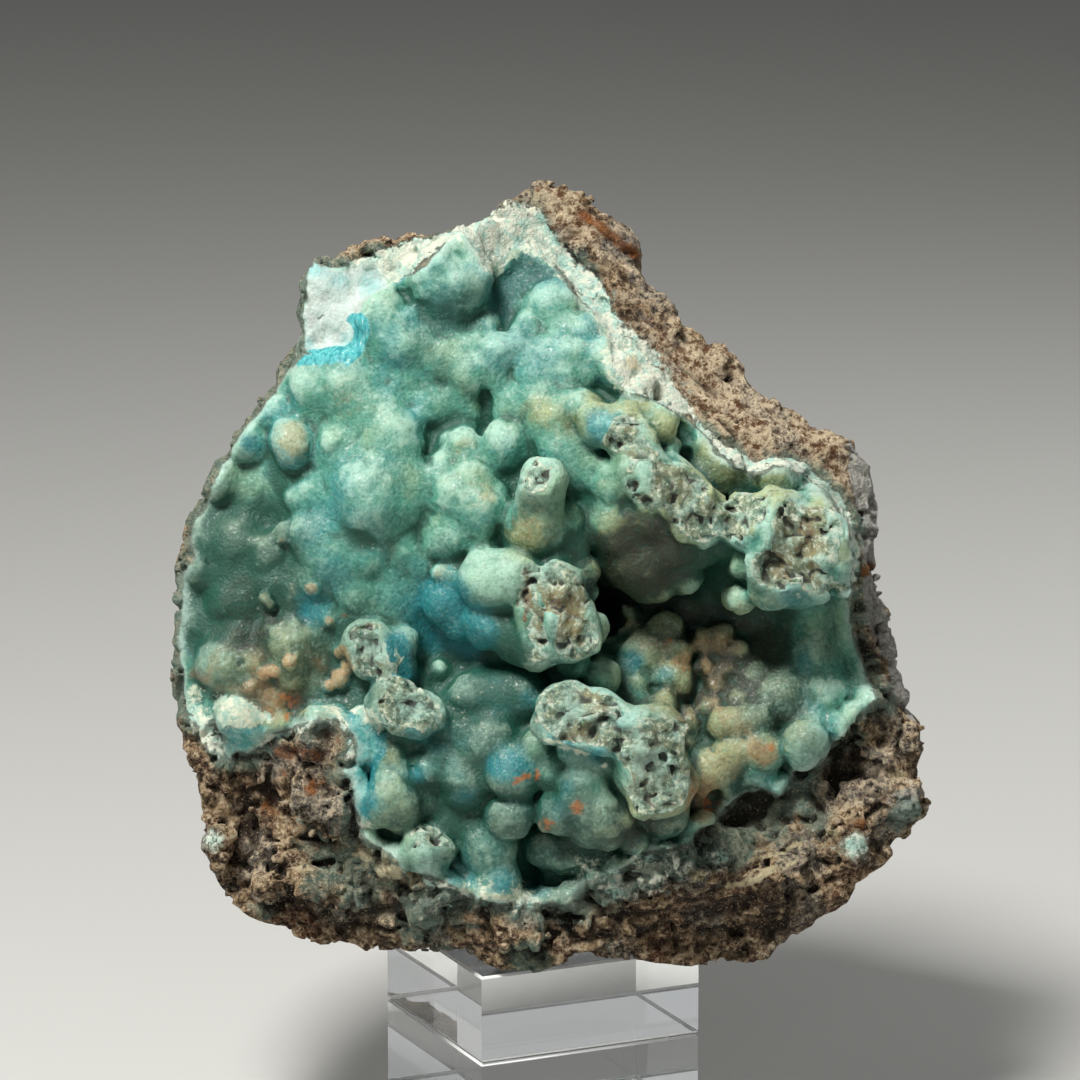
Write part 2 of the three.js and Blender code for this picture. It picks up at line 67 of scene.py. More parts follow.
outline = [  # the stone's edge, seen along w
    (-3, 64), (-1, 65.3), (3, 64.7), (6, 63.7), (8.3, 61.5), (10.5, 59.7), (13, 58.3), (15, 56),
    (16, 53.5), (15.7, 51), (17, 48), (20.8, 45.2), (22.2, 42.4), (24.2, 40.7), (25.8, 40), (26.6, 38),
    (29.8, 38), (33.5, 34.5), (34.6, 30.5), (38, 28.8), (42, 26.5), (44, 24.2), (48, 23.8),
    (50.9, 22.3), (53.3, 18), (54.8, 15), (54.5, 5), (55.4, -1), (57, -7), (57.6, -11), (58.8, -15),
    (60.5, -19.5), (60.8, -23.5), (62.5, -25.5), (62.5, -28.5), (61.2, -32), (61.8, -34.5), (63.6, -38),
    (62.5, -41), (59, -44), (55.5, -48), (51.5, -50.3), (49.5, -54), (45, -57.6), (40, -60.3),
    (38, -61.5), (36.5, -64), (31, -65), (24, -64.5), (15, -63.4), (8.5, -63), (5.5, -62.4),
    (3.5, -63.4), (0, -65), (-4, -65.6), (-9, -64.4), (-13, -62.8), (-18, -62.2), (-25, -61.8),
    (-31, -62), (-37, -61), (-43, -59), (-49, -56), (-53, -53), (-54.6, -49), (-56.6, -45),
    (-56.4, -38), (-57.2, -34), (-59, -30), (-60.8, -25), (-61.5, -18), (-61.3, -12), (-60.9, -6),
    (-61.7, -1), (-60.6, 3.5), (-59.5, 8), (-56.5, 13), (-54, 19), (-51, 23.8), (-47.5, 28),
    (-44.6, 31.5), (-43.6, 35), (-41.5, 37.6), (-40.1, 40), (-40.6, 43.5), (-39.8, 46.5), (-40.3, 48.5),
    (-39, 50), (-38, 51.8), (-34.8, 52.6), (-32, 54.4), (-27, 55.7), (-24.8, 54.6), (-22.5, 56.2),
    (-17.5, 55.9), (-13.5, 57.4), (-11, 58.6), (-8.5, 60), (-5.5, 62.4)]
crustEdge = [  # where the blue-green crust ends
    (-40.2, 36), (-36, 37), (-32, 39), (-30.6, 42), (-30.6, 45), (-27.5, 47.3), (-22, 49.4),
    (-19, 51.5), (-17, 53.5), (-14.5, 55.8), (-12, 54.5), (-10.5, 52.8), (-9.4, 51), (-7.8, 50),
    (-6, 52), (-4.6, 53.4), (-3.6, 54.8), (-2.2, 53.2), (0, 52.2), (2.7, 50), (4.9, 47.2), (6.4, 45),
    (8.7, 41.8), (10.2, 39.8), (9.8, 35.5), (9.7, 33.4), (12, 30.6), (14.2, 29.6), (17.5, 28.9),
    (21, 26.6), (25, 23.6), (27.5, 21.3), (31, 17.6), (34, 16.2), (38, 17.3), (42, 16.2), (46, 12.8),
    (48.6, 9.5), (49.6, 5), (49.6, 0), (49, -4), (50.4, -9), (51.8, -14), (53, -18.5), (54.6, -20.2),
    (51, -23.8), (47.8, -27.5), (45, -30.3), (41, -33), (39.5, -36), (36, -35), (31, -37), (29.5, -39),
    (26, -41), (22.5, -43.8), (18, -45), (13.5, -47), (11, -49.5), (7, -51), (4, -54.5), (1, -54),
    (-3, -53), (-8, -53.2), (-12, -52), (-16, -51), (-19, -48), (-22, -48.2), (-26, -45.4),
    (-28.6, -44), (-30, -41), (-30.6, -38), (-31.4, -34), (-33, -31.4), (-31, -29), (-31.2, -26),
    (-33.5, -23), (-37.5, -22.8), (-41, -24.6), (-46, -26.4), (-48.5, -28.8), (-52, -29.6),
    (-53.4, -27), (-54.4, -23), (-57, -24), (-59, -21.5), (-60.3, -14), (-60.4, -6), (-59.8, -0.5),
    (-57.4, 3), (-57.4, 8.5), (-54.6, 14.5), (-51.4, 20), (-48.6, 25), (-44.8, 29.5), (-42, 33)]
relief = [  # u, v and the broad height of the face there
    (-1.5, 62, -3), (6, 60, -3), (12.5, 54, -2), (20, 44, -2), (27, 36, -2), (33, 32, -4),
    (42.5, 24, -3), (50, 19, -5), (10, 41, 4), (16, 33, 6), (24, 26, 6), (31, 19, 5), (38, 18, 5),
    (45, 15, 3), (49, 8, 2), (54, 8, -7), (50, 0, 1), (51, -9, 0), (55.5, -3, -8), (57, -12, -9),
    (59.5, -21, -7), (54, -20, 1), (58, -28, -1), (50, -30, -6), (62, -38, -5), (58, -38, -1),
    (50, -44, 1), (45, -38, -3), (44, -50, -1), (50, -48, -3), (40, -58, -8), (30, -60, -9),
    (20, -60, -8), (18, -53, 2), (10, -57, -1), (28, -49, 3), (36, -50, 1), (-4, -60, 0), (-4, -64, -5),
    (-16, -54, 2), (-20, -60, -5), (-32, -50, 1), (-35, -58, -6), (-42, -47, -1), (-45, -57, -6),
    (-50, -40, -4), (-55, -40, -4), (-53, -50, -5), (-52, -33, -1), (-40, -38, 1), (-59, -22, -3),
    (-61, -14, -4), (-60, -4, -4), (-57, 6, -3), (-49, 22, -1), (-42, 31, 0), (-35, 44, 3),
    (-38, 48, 3), (-33, 38, 3), (-37, 40, 3), (-30, 53, 0), (-20, 55, 0), (-10, 57, 1), (-13, 52, 3),
    (-24, 44, 3), (-15, 44, 1), (-13, 40, 2), (-2.6, 51.4, -3.4), (-6, 47, -3), (-8, 43, -1.5),
    (2.6, 48, -3), (-1, 45, -2), (6, 42.6, 0), (0, 40, 2.4), (8, 37, 4), (-17, 37, 4), (-25, 36, 3),
    (-33, 30, 4), (-38, 24, 3), (-27, 22, 7), (-15, 24, 0), (-8, 29, 4.5), (-14, 31, 4.5), (-4, 25, 5),
    (0, 31, 6.5), (-47, 16, 0), (-47, 11, -3), (-40, 17, 4), (-28, 12, 9), (-34, 4, 5), (-24, 2, 5),
    (-44, 3, 2), (-52, 4, 0), (-54, -3, -2.6), (-48, -8, -0.8), (-38, -6, 2), (-30, -5, 4),
    (-54, -14, 0), (-42, -12, 3), (-47, -14, 1.5), (-34, -15, 0.5), (-46, -20, 2), (-51, -26, 0),
    (-36, -27, 3), (-30, -28, 4), (-26, -12, 4), (-22, -22, 4), (-17, -14, -1), (-10, -15, 1),
    (-7, -12, 2), (-10, 10, 7), (-15, 5, 6), (-2, 8, 6), (-8, 0, 6), (1, -5, 6), (3.5, 19, 8),
    (7, 21, 7.5), (6, 10, -7), (7, -3, -16), (12, 24, 7), (20, 16, 6), (15, 3, 0), (15, -6, -12),
    (25, -6, -14), (33, -8, -10), (28, -14, -5.5), (18, -14, -3.5), (15, -22, -3), (26, -22, -4),
    (36, -18, -2.5), (43, -12, -6), (46.5, -13, -3), (47, -17.5, -2), (40, -24, -4), (30, -30, -3),
    (25, -37, -6), (36, -32, -2), (34, -39, -8), (28, 17, 3), (38, 12, 5), (40, 3, 5), (33, 0, 0),
    (46, 4, 3), (5, -17, 2), (-8, -26, 4.5), (-17, -33, 4), (-21, -29, 4), (-24, -38, 2),
    (-12, -41, -1), (-5, -35.5, 5), (7, -35, 6), (3, -46, -13), (9, -47, -9), (-9, -48, 1),
    (18, -38, 2), (18, -30, 8), (6, -23, 8), (19, -48, 5), (25, -44.6, 3), (12, -51, 4)]
reliefSpread = 4.6
domes = [  # u, v, radius, top; a long one has two ends and two tops
    (-15.4, 48, 7, 8.6), (-14.6, 52.4, 4.4, 6), (-17, 42, 5, 5.4), (-11, 40.6, 4, 4.6),
    (-27, 42.5, 5, 6.8), (-22.5, 38, 6.5, 7.5), (-17.5, 35.5, 4, 7), (-12.5, 36.8, 3.6, 6.6),
    (-22, 32.5, 5, 6.2), (-33, 30.5, 8.5, 7.5), (-37.5, 29.5, 4, 6.2), (-28, 27.5, 4, 7.2),
    (-44, 26.5, 3.4, 3), (1, 44, 4.6, 3.6), (3.6, 40.6, 3.4, 4.6), (-3, 41, 3.2, 3.6),
    (7, 38.4, 3, 5.2), (-3.5, 40, 3, 5), (2, 39.5, 3, 5.6), (6, 39.5, 3.2, 6),
    (-13, 33.5, -7, 36, 3.6, 8.2, 8), (-4, 36.5, 4, 36, 3.6, 8, 8.5), (8, 36, 3.4, 8), (7, 33, 3, 7.5),
    (-2, 33, 3.8, 8.8), (3, 33.5, 3.4, 8.6), (-5.5, 28.6, 5, 8.2), (-13, 29, 5, 6.2), (-19, 28, 5, 6.4),
    (-9.5, 31.5, 4.4, 7.4), (12, 33.5, 3.4, 9), (15.5, 31, 2.6, 8.5), (-25, 22.5, 6, 9.5),
    (-34, 21.5, 5.5, 8), (-30, 26, 4, 7.5), (-41.5, 21.5, 4.2, 8.4), (-48.5, 21.5, 3.2, 2.8),
    (-40, 13, 3, 5), (-37, 14.5, 3.5, 7), (-28, 13, 9.5, 12.5), (-21.5, 13, 5.5, 11),
    (-34.5, 5, 6.8, 9), (-30, 3.2, 4, 8.5), (-38, 6, 4.5, 7.5), (-22.5, 5, 4.4, 8.5), (-18, 9, 4, 9.5),
    (-43, 7, 1.6, 4.8), (-44.5, 3, 4.5, 4.4), (-51.5, 5, 7, 2.2), (-46, -1.2, 5, 4),
    (-38.5, -1.2, 4.6, 5.6), (-33, -0.5, 3.4, 6.5), (-30.5, -3.5, 4.6, 7), (-25.5, -4, 3.6, 6.6),
    (-27, 0, 3, 6), (-37, -5.5, 3, 5), (-33, -7.5, 3, 4.5), (-53, -14.8, 4.7, 4.2),
    (-41.5, -11.8, 5.6, 6.6), (-48, -10, 3.2, 2.6), (-46, -13.5, 3.4, 4.4), (-50, -22.5, 4.2, 4.2),
    (-44, -24, 3, 3.6), (-53.5, 16, 4, 1.5), (-56, 1, 3.4, 0.6), (-52, -4.6, 3.8, 2.6),
    (-56.6, -7.4, 3.4, -0.8), (-50.4, -10, 3.4, 2.8), (-49, -4, 3.4, 3), (-45, -20.4, 4, 3.6),
    (-38.4, -16, 3.4, 3.6), (-57, -15, 3, -1), (-48.4, -15, 3.4, 4), (-42, -16.4, 3.6, 4.6),
    (-1.2, 7.5, -0.9, 13, 4.2, 15.5, 17.6), (-9.3, -0.6, -5.6, -0.4, 4.9, 15.8, 17),
    (8.5, 24.6, 12.4, 24.4, 4, 14.8, 15.4), (-12.5, 20, 5.5, 10), (-7.5, 21, 4.4, 11),
    (-16, 17.5, 3.5, 9.5), (-15.5, 13.5, 5, 12), (-10.5, 11, 5, 13), (-12, 16, 4, 11.5),
    (-16, 6.5, 4.6, 11.5), (-10, 5.5, 3.4, 10.5), (-20, 2.5, 3.6, 8), (-15, 2.8, 3, 9),
    (-2, 8, 5.4, 15), (2.5, 9, 3.8, 13), (4.5, 6, 3, 11.5), (1.5, 3, 3.8, 12.5), (6.3, 0.8, 2.5, 11.5),
    (6.8, -3, 1.8, 9.5), (5, 4.5, 2.2, 11.5), (-9, -8, 4.5, 12.5), (-5, -9.5, 4.5, 13),
    (-3, -12, 3, 12), (-17, 0.5, -15.2, 0.3, 1.8, 9.5, 9.5), (-16, -4, 4.6, 9), (-14, -7, 3.6, 8),
    (7.6, -9, 2.8, 11.5), (4.5, -14, 2.8, 10.5), (9.3, -16.6, 3.2, 9),
    (-11, -20.2, -3.4, -20, 5, 8.5, 9), (-17.5, -15.5, 2.4, 4), (-15, -25, 3.8, 7.8),
    (-9, -27.6, 5.6, 10.6), (-13, -33, 5.6, 9.4), (-19, -31.8, 4.2, 8), (-5.4, -32, 4.7, 12.4),
    (-1.5, -28, 3.4, 10.8), (1.4, -31.8, 3.2, 11.5), (6.6, -32.8, 5, 14.2), (2.6, -38.6, 3.6, 11.4),
    (9.4, -39.2, 6, 13.4), (5.6, -37, 3.4, 13), (-5.6, -39.3, 4.3, 10.2), (-12, -38, 3.6, 3),
    (-16, -40, 4.4, 4.5), (0, -40.5, 1.6, 9), (19.6, -38.6, 4.3, 8.6), (14, -42.4, 3, 7),
    (-17.4, -29, 3.8, 7.6), (-20, -36.4, 3.4, 6.4), (-14.5, -21.5, 3.6, 6.6), (-9.4, -45, 5, 6.8),
    (-8.6, -50, 4.6, 5), (-11, -41, 3.4, 4.5), (5, -46, 6.6, 4), (0, -45, 4, 3), (10.4, -45, 4, 3.4),
    (4, -28.4, 10, -30.8, 2.2, 14.5, 14.5), (-25.6, -27, -25, -33, 3.8, 7.5, 8.6), (-25, -37.3, 5, 10),
    (-29.5, -24, -29, -29, 2.4, 7, 7), (-31, -33, -30, -39, 2, 6, 6),
    (-23.5, -11, -23.5, -16, 2.6, 8.5, 8), (-20.5, -17, 2.4, 4), (-28.3, -43, 1.8, 4.5),
    (-24, -46.3, 2.3, 5.8), (2, 25, 5.6, 11.4), (-1, 28.5, 4.4, 9.6), (6.5, 26.5, 4, 11.5),
    (14, 26, 19, 24, 3.2, 12.5, 12.5), (20.5, 21, 2.8, 11), (6, 17.8, 5.4, 12.2), (10, 14, 4, 7),
    (3.6, 20.8, 4.4, 12.6), (-0.4, -6.5, 3, 15), (11, 17.5, 3, 9),
    (20.5, 18.5, 27.5, 11.5, 2.6, 12.5, 11.5), (12, 15.4, 5.4, 14), (17.5, 10.6, 5.8, 14),
    (12.4, 9, 6.4, 13), (21, 6, 5.4, 11.5), (15.4, 3.4, 6.6, 10.6), (25.5, 5.5, 4.2, 8.5),
    (17.5, -0.5, 4.6, 7), (22.5, 1, 4, 6.5), (9.4, 12.6, 4, 10.5), (10, 4.5, 4, 7.5),
    (28.5, 17, 5.6, 8), (32.5, 15, 4, 7), (25, 20.5, 3.4, 6.5), (38, 14.6, 4.6, 8.5),
    (43.5, 12, 3.4, 7.5), (47, 8.5, 3, 6), (33, 2, 3, 11.5), (30.5, 5.5, 3, 9), (29.5, 8.5, 2.4, 8.5),
    (46.2, 2, 3.2, 8.5), (35.5, -1.5, 2, 10), (41, -3, 2.6, 9.5), (32.2, -4, 2.4, 8.5),
    (37.3, -9.8, 42.3, -7.6, 1.5, 10, 9), (43.8, -9.3, 1.2, 7.5), (13.5, -8.5, 3.6, -3),
    (19.8, -9.6, 3.8, -1.8), (21.6, -13.2, 3, -0.6), (16, -14, 5, 0), (20.8, -17.6, 4.8, 1),
    (15.2, -19.4, 4, 1.4), (19, -22, 3.8, 2.2), (11.8, -12.4, 3, -3), (13, -16, 2.6, 0),
    (24.5, -5.5, 5.5, -7.5), (28.3, -13, 4.8, -3.4), (26, -11.2, 2.4, -3), (29.4, -10.4, 2.2, -3.4),
    (31.8, -13.2, 2.6, -3), (26.6, -15.4, 2.4, -2), (30.2, -15.8, 2.6, -2.2), (28.6, -18.6, 2.8, -1.2),
    (35, -18.4, 4.6, -0.6), (38.8, -20.8, 5, 1.8), (32, -20.6, 3, 0), (27.4, -22, 3.6, 0),
    (23.6, -24, 3, 0.4), (29.6, -24.8, 35.4, -24.4, 3, 2.8, 2.8), (46, -20.6, 4.6, 1),
    (44, -24.5, 3.4, 2), (38, -13.5, 4.4, -5), (33, -10, 4, -7), (39.6, -16.2, 2.6, -3),
    (27.4, -32.4, 4.4, 3.2), (31, -29.4, 3.6, 3.6), (35, -31.6, 3.2, 2.2), (36, -28.8, 3.8, 4.2),
    (42.8, -27.6, 3.9, 5.4), (26, -34, 3, 2.6), (35, -33, 3, 1.6), (35, -33.5, 38, -35, 2.4, 0, 0),
    (31, -37, 2.4, -2), (24, -37, 2.6, 1), (22.5, -41.5, 26, -40.5, 1.6, 2.5, 2.5), (48, -24.8, 2, 2.2),
    (50.8, -23, 1.8, 2.2), (53.6, -20.6, 1.6, 2), (43, -24.5, 3, 1), (12, -48, 2.2, 5.4),
    (9, -50.6, 2.6, 5), (15.6, -48.4, 2, 6.2), (18.6, -50.4, 2, 5.8), (20.6, -46.8, 2.2, 6.6),
    (24, -48, 2.2, 6), (14, -51.6, 2, 5.2), (27.4, -46, 1.8, 5), (3, -53, 4, 3), (-16, -51, 2.5, 4.5),
    (29, -48.5, 2.4, 3), (-36.5, -41, 2.6, 4.5), (-53.5, -43.5, -54, -46, 2.2, 0, 0), (11, -53, 3, 3),
    (8, -56.5, 3.5, 1), (-20, -54, 4, 3.5), (-4, -57, 5, 3), (59.5, -37, 3.6, 2), (60.5, -28, 2.4, 0),
    (50, -44, 4, 3), (33, -50.5, 41, -48.7, 1.4, 2.5, 2.5), (-40, -50.5, -33, -52, 2.5, 2.5, 2.5),
    (-46, -51.5, 2.5, 1)]
nodules = [  # small tan balls
    (-42, -14, 1.3, 7.2), (-46, -16, 1.4, 4.6), (-44.6, -15.8, 1.1, 5), (-33.5, -12.8, 1.4, 4.6),
    (-32.4, -15, 1.5, 4.6), (-34, -17, 1.7, 4.8), (-35.4, -18, 1.1, 4), (-48.6, -18.6, 1.5, 4.2),
    (-46.6, -3.6, 1.1, 5), (-45.4, -4.8, 0.8, 4.6), (-38.4, -2.2, 1.1, 6.6), (-35.6, -7.5, 0.8, 5),
    (-33, -7, 0.8, 4.8), (-43.2, 5.8, 0.7, 5.2), (-39.5, 46, 0.8, 1)]
# a long dome, then how its cut leans across and up, and how deep it goes
brokenLumps = [
    (-0.7, 15.1, -0.7, 15.1, 4.1, 20, 20, 0.1, 0.45, 1.6),
    (-3.4, 1, -3.2, -2, 3, 17, 16.5, 0.3, 0.1, 0.8),
    (1.8, -1.2, 4.2, -9.6, 4.7, 18, 17.5, 0.35, 0, 2.2),
    (-1.8, -3.5, -0.8, -10.5, 4.3, 17, 16.2, 0.1, 0, 1.2),
    (2.8, -22.4, 8.8, -23.4, 5.2, 20.4, 20.8, 0, 0.3, 2.9),
    (16.6, -27.6, 18, -32.2, 7, 22, 21, 0.05, 0.05, 4.2),
    (9, -24.4, 15, -26.6, 4, 20, 20.6, 0, 0.2, 1.8),
    (12.6, 22.6, 15.6, 19.2, 4.4, 17, 17.2, 0.1, 0.1, 2.2),
    (15.5, 18.6, 20, 14.2, 5, 17.8, 17.4, 0.1, 0.2, 2.7),
    (19.5, 14.4, 25, 8.6, 5, 17.4, 16, 0.1, 0.2, 2.7), (33, 8.6, 38, 9.4, 5, 14.6, 15.6, 0.1, 0.4, 1.8),
    (39.5, 8, 45, 5.8, 6.2, 16.5, 15.5, 0.15, 0.2, 2.4),
    (37.2, 0.8, 43.5, 1, 5.8, 15.4, 14.4, 0.1, -0.1, 2.2),
    (46.4, 3, 46.6, -0.5, 3.6, 12.5, 12, 0.3, 0, 1.2),
    (-28.2, -11, -27, -13.3, 4.6, 11, 11, -0.4, 0.2, 1.6),
    (-24.8, -20.2, -19.6, -23.2, 4.3, 12.8, 12.8, 0, 0.3, 2),
    (-36.2, -26.5, -35.5, -26.8, 5, 9, 9, 0, 0.1, 2), (-36.5, -35, -35.5, -36, 5.2, 9, 9, 0, 0.1, 2.2),
    (-19.5, -44.6, -19.3, -45, 3.7, 8.5, 8.5, 0.1, 0.3, 0.6)]
hollows = [  # u, v, radius and the height of the bottom
    (6.5, -4, 3.6, -9), (8, -6, 4.5, -15), (5.2, 8.5, 2, 0), (6.5, 5, 2, -3), (-26, -42.6, 1.8, 2.5),
    (47, -3.5, 1.2, 8), (53.2, -12.5, 1.4, -3), (53, 0.8, 1.6, -3.5), (23.2, 19.8, 1.1, 5.5),
    (28.3, 11.5, 1.6, 3.6), (48.9, 16.8, 1.2, 3), (22.8, 31.2, 0.9, 5), (-7, -2.8, 1.4, 17.5),
    (-9.8, 0.3, 0.5, 16.5), (-47, -37, 3, -1.5), (-49, -42.5, 3, -2), (-42, -54.3, 2.4, 0),
    (34.5, -38.5, 3.4, -3), (50, -31, 4.5, -3), (28, -36.3, 1.6, -1), (17, -29.3, 1.1, 19.5),
    (7.5, -25.6, 1, 18.5), (3.6, -24.6, 0.8, 18.5), (42.8, 8.6, 1.8, 15), (-22.2, -22.2, 0.7, 11.5),
    (-27.2, -12.2, 0.8, 10)]
paleBand = [  # the chalky band along the top edge
    (-29.5, 49.5), (-24, 53), (-17, 56.6), (-12, 58.6), (-8.5, 60), (-5, 61.5), (-1, 60.4), (1, 58),
    (3, 55), (5, 52.4), (9.4, 48.6), (11, 45.6), (12.4, 42), (15.5, 40), (17.6, 37.6), (18.6, 33),
    (20, 30), (25, 25), (17.5, 28.9), (12, 30.6), (9.8, 35), (10.2, 39.8), (8.7, 41.8), (6.4, 45),
    (4.9, 47.2), (2.7, 50), (0, 52.2), (-2.2, 53.2), (-3.6, 54.8), (-4.6, 53.4), (-6, 52), (-7.8, 50),
    (-9.4, 51), (-12, 54.5), (-14.5, 55.8), (-17, 53.5), (-22, 49.4), (-27, 47.6)]
flatBreak = [  # the flat pale face at the upper left
    (-39, 52), (-35, 50.5), (-28, 51), (-26, 48), (-30, 45), (-31, 42), (-30, 40), (-31, 37),
    (-35, 36.5), (-40, 37)]
grooves = [  # half width, height of the bottom, line
    (1.5, -1.5, [(-3.4, -49), (1, -50.2), (5.4, -49.6)]),
    (1.7, -5, [(4.8, 11.5), (6.3, 6), (8.4, 1), (8.6, -4)]), (1.3, 3.2, [(28.4, 31.4), (30.6, 28.8)]),
    (1.1, 3.6, [(27, 27.8), (30.4, 26.6)]), (1.1, 2.8, [(42, 23.2), (44.6, 22.2)]),
    (0.7, 4.6, [(32, 21.5), (36, 19.5), (40, 18)]), (0.9, 4.4, [(20, 36), (23, 33)]),
    (0.8, 9, [(8, 32), (13, 29.8), (16, 29.2)]), (1.2, 5.2, [(17, 28.4), (21.5, 25), (24, 23)]),
    (0.6, 5.4, [(-10, 30), (-10, 24)])]
knobblyPlaces = [  # u, v, radius and how much more bumpy it is there
    (24, -14, 11, 0.9), (16, 4, 8, 0.35), (12, -36, 9, 0.4), (36, -19, 7, 0.4), (-46, -12, 10, 0.7),
    (-8, 12, 9, 0.5), (40, 3, 8, 0.8), (-20, -28, 8, 0.4), (-35, 26, 7, 0.4)]
smoothPlaces = [  # and where the swellings run together more softly
    (-25, 18, 16, 1), (-14, 38, 15, 1.1), (1, 36, 10, 1.1), (-36, 4, 12, 0.8), (-9, 22, 9, 0.9),
    (-10, -26, 12, 0.8), (46, -13, 6, 1), (6, -38, 9, 0.7), (-47, -12, 10, 0.9), (-50, 1, 8, 1.2),
    (-12, 8, 8, 0.6), (-38, 28, 8, 0.6)]

# noise and distances, on numpy arrays in millimetres

noiseTable = np.random.default_rng(face["noiseSeed"]).uniform(-1, 1, (64, 64, 64)).astype(np.float32)
pointTable = np.random.default_rng(face["pointSeed"]).uniform(0, 1, (4, 32, 32, 32)).astype(np.float32)


def smoothStep(value, start, end):
    t = np.clip((value - start) / (end - start), 0, 1)
    return t * t * (3 - 2 * t)


def smoothMax(a, b, blend):
    h = np.clip(0.5 + 0.5 * (a - b) / blend, 0, 1)
    return b * (1 - h) + a * h + blend * h * (1 - h)


def smoothMin(a, b, blend):
    h = np.clip(0.5 + 0.5 * (b - a) / blend, 0, 1)
    return b * (1 - h) + a * h - blend * h * (1 - h)


def grain(x, y, z, size, shift=0):  # soft noise from -1 to 1, its lumps about size across
    corners = []
    for axis, values in enumerate((x, y, z)):
        scaled = values / size + 7.31 * (shift + 1) + 3.7 * axis
        whole = np.floor(scaled)
        part = (scaled - whole).astype(np.float32)
        index = whole.astype(np.int64)
        corners.append((index & 63, (index + 1) & 63, part * part * (3 - 2 * part)))
    (x0, x1, fx), (y0, y1, fy), (z0, z1, fz) = corners
    total = 0
    for ix, wx in ((x0, 1 - fx), (x1, fx)):
        for iy, wy in ((y0, 1 - fy), (y1, fy)):
            total = total + wx * wy * (noiseTable[ix, iy, z0] * (1 - fz) + noiseTable[ix, iy, z1] * fz)
    return total


def cells(x, y, z, size, shift=0):  # the way to the nearest scattered point, in sizes, and its number
    scaled = [values / size + 5.17 * (shift + 1) + 2.3 * axis for axis, values in enumerate((x, y, z))]
    whole = [np.floor(s).astype(np.int64) for s in scaled]
    best = np.full(np.broadcast(*scaled).shape, 9.0, np.float32)
    number = np.zeros(best.shape, np.float32)
    for i in (-1, 0, 1):
        for j in (-1, 0, 1):
            for k in (-1, 0, 1):
                cell = [whole[0] + i, whole[1] + j, whole[2] + k]
                index = tuple(c & 31 for c in cell)
                d = 0
                for axis in range(3):
                    d = d + (scaled[axis] - cell[axis] - pointTable[(axis,) + index]) ** 2
                nearer = d < best
                best = np.where(nearer, d, best)
                number = np.where(nearer, pointTable[(3,) + index], number)
    return np.sqrt(best), number


def polygonDistance(x, y, points):  # negative inside
    nearest = np.full(x.shape, 1e9)
    inside = np.zeros(x.shape, bool)
    for (x0, y0), (x1, y1) in zip(points, points[1:] + points[:1]):
        ex, ey = x1 - x0, y1 - y0
        t = np.clip(((x - x0) * ex + (y - y0) * ey) / (ex * ex + ey * ey), 0, 1)
        nearest = np.minimum(nearest, (x - x0 - t * ex) ** 2 + (y - y0 - t * ey) ** 2)
        if ey:
            inside ^= ((y0 > y) != (y1 > y)) & (x < x0 + (y - y0) * ex / ey)
    return np.where(inside, -1, 1) * np.sqrt(nearest)


def lineDistance(x, y, points):
    nearest = np.full(x.shape, 1e9)
    for (x0, y0), (x1, y1) in zip(points, points[1:]):
        ex, ey = x1 - x0, y1 - y0
        t = np.clip(((x - x0) * ex + (y - y0) * ey) / max(ex * ex + ey * ey, 1e-9), 0, 1)
        nearest = np.minimum(nearest, (x - x0 - t * ex) ** 2 + (y - y0 - t * ey) ** 2)
    return np.sqrt(nearest)


def spots(x, y, rows):  # the strongest of some soft round spots
    total = np.zeros(x.shape)
    for u, v, radius, *strength in rows:
        spot = np.exp(-((x - u) ** 2 + (y - v) ** 2) / radius ** 2)
        total = np.maximum(total, (strength or [1])[0] * spot)
    return total


def reliefHeight(x, y):
    total, weight = np.zeros(x.shape), np.full(x.shape, 1e-9)
    for u, v, height in relief:
        w = np.exp(-((x - u) ** 2 + (y - v) ** 2) / (2 * reliefSpread ** 2))
        total += w * height
        weight += w
    return total / weight


def capsule(x, y, z, a, b, radius):
    along = [b[i] - a[i] for i in range(3)]
    length = max(sum(c * c for c in along), 1e-9)
    t = np.clip(((x - a[0]) * along[0] + (y - a[1]) * along[1] + (z - a[2]) * along[2]) / length, 0, 1)
    return np.sqrt(sum((p - a[i] - t * along[i]) ** 2 for i, p in enumerate((x, y, z)))) - radius


def worm(x, y, z, u, v, u2, v2, radius, top, top2, root=2.4):  # a rounded crest on deep roots
    shape = capsule(x, y, z, (u, v, top - radius), (u2, v2, top2 - radius), radius)
    for pu, pv, pt in {(u, v, top), (u2, v2, top2)}:
        foot = (pu * 0.97, pv * 0.97, pt - root * radius)
        shape = smoothMin(shape, capsule(x, y, z, (pu, pv, pt - radius), foot, radius * 0.85), 0.6)
    return shape


def brokenLump(x, y, z, row):  # the lump before its cut, and the cut
    u, v, u2, v2, radius, top, top2, leanU, leanV, depth = row
    wx = x + 1.3 * grain(x, y, z, 5.5, 1) + 0.5 * grain(x, y, z, 2.1, 2)
    wy = y + 1.3 * grain(x, y, z, 5.5, 3) + 0.5 * grain(x, y, z, 2.1, 4)
    wz = z + 0.9 * grain(x, y, z, 5.5, 5)
    shape = worm(wx, wy, wz, u, v, u2, v2, radius, top, top2, root=3.4)
    normal = np.array([leanU, leanV, 1.0])
    along = np.array([u2 - u, v2 - v, top2 - top], float)
    if np.linalg.norm(along) > 2:
        along /= np.linalg.norm(along)
        normal -= (normal @ along) * along
    normal /= np.linalg.norm(normal)
    plane = ((x - (u + u2) / 2) * normal[0] + (y - (v + v2) / 2) * normal[1]
             + (z - (top + top2) / 2 + depth) * normal[2])
    plane = plane + 1.8 * grain(x, y, z, 5, 8) + grain(x, y, z, 2.4, 9)
    return shape, plane


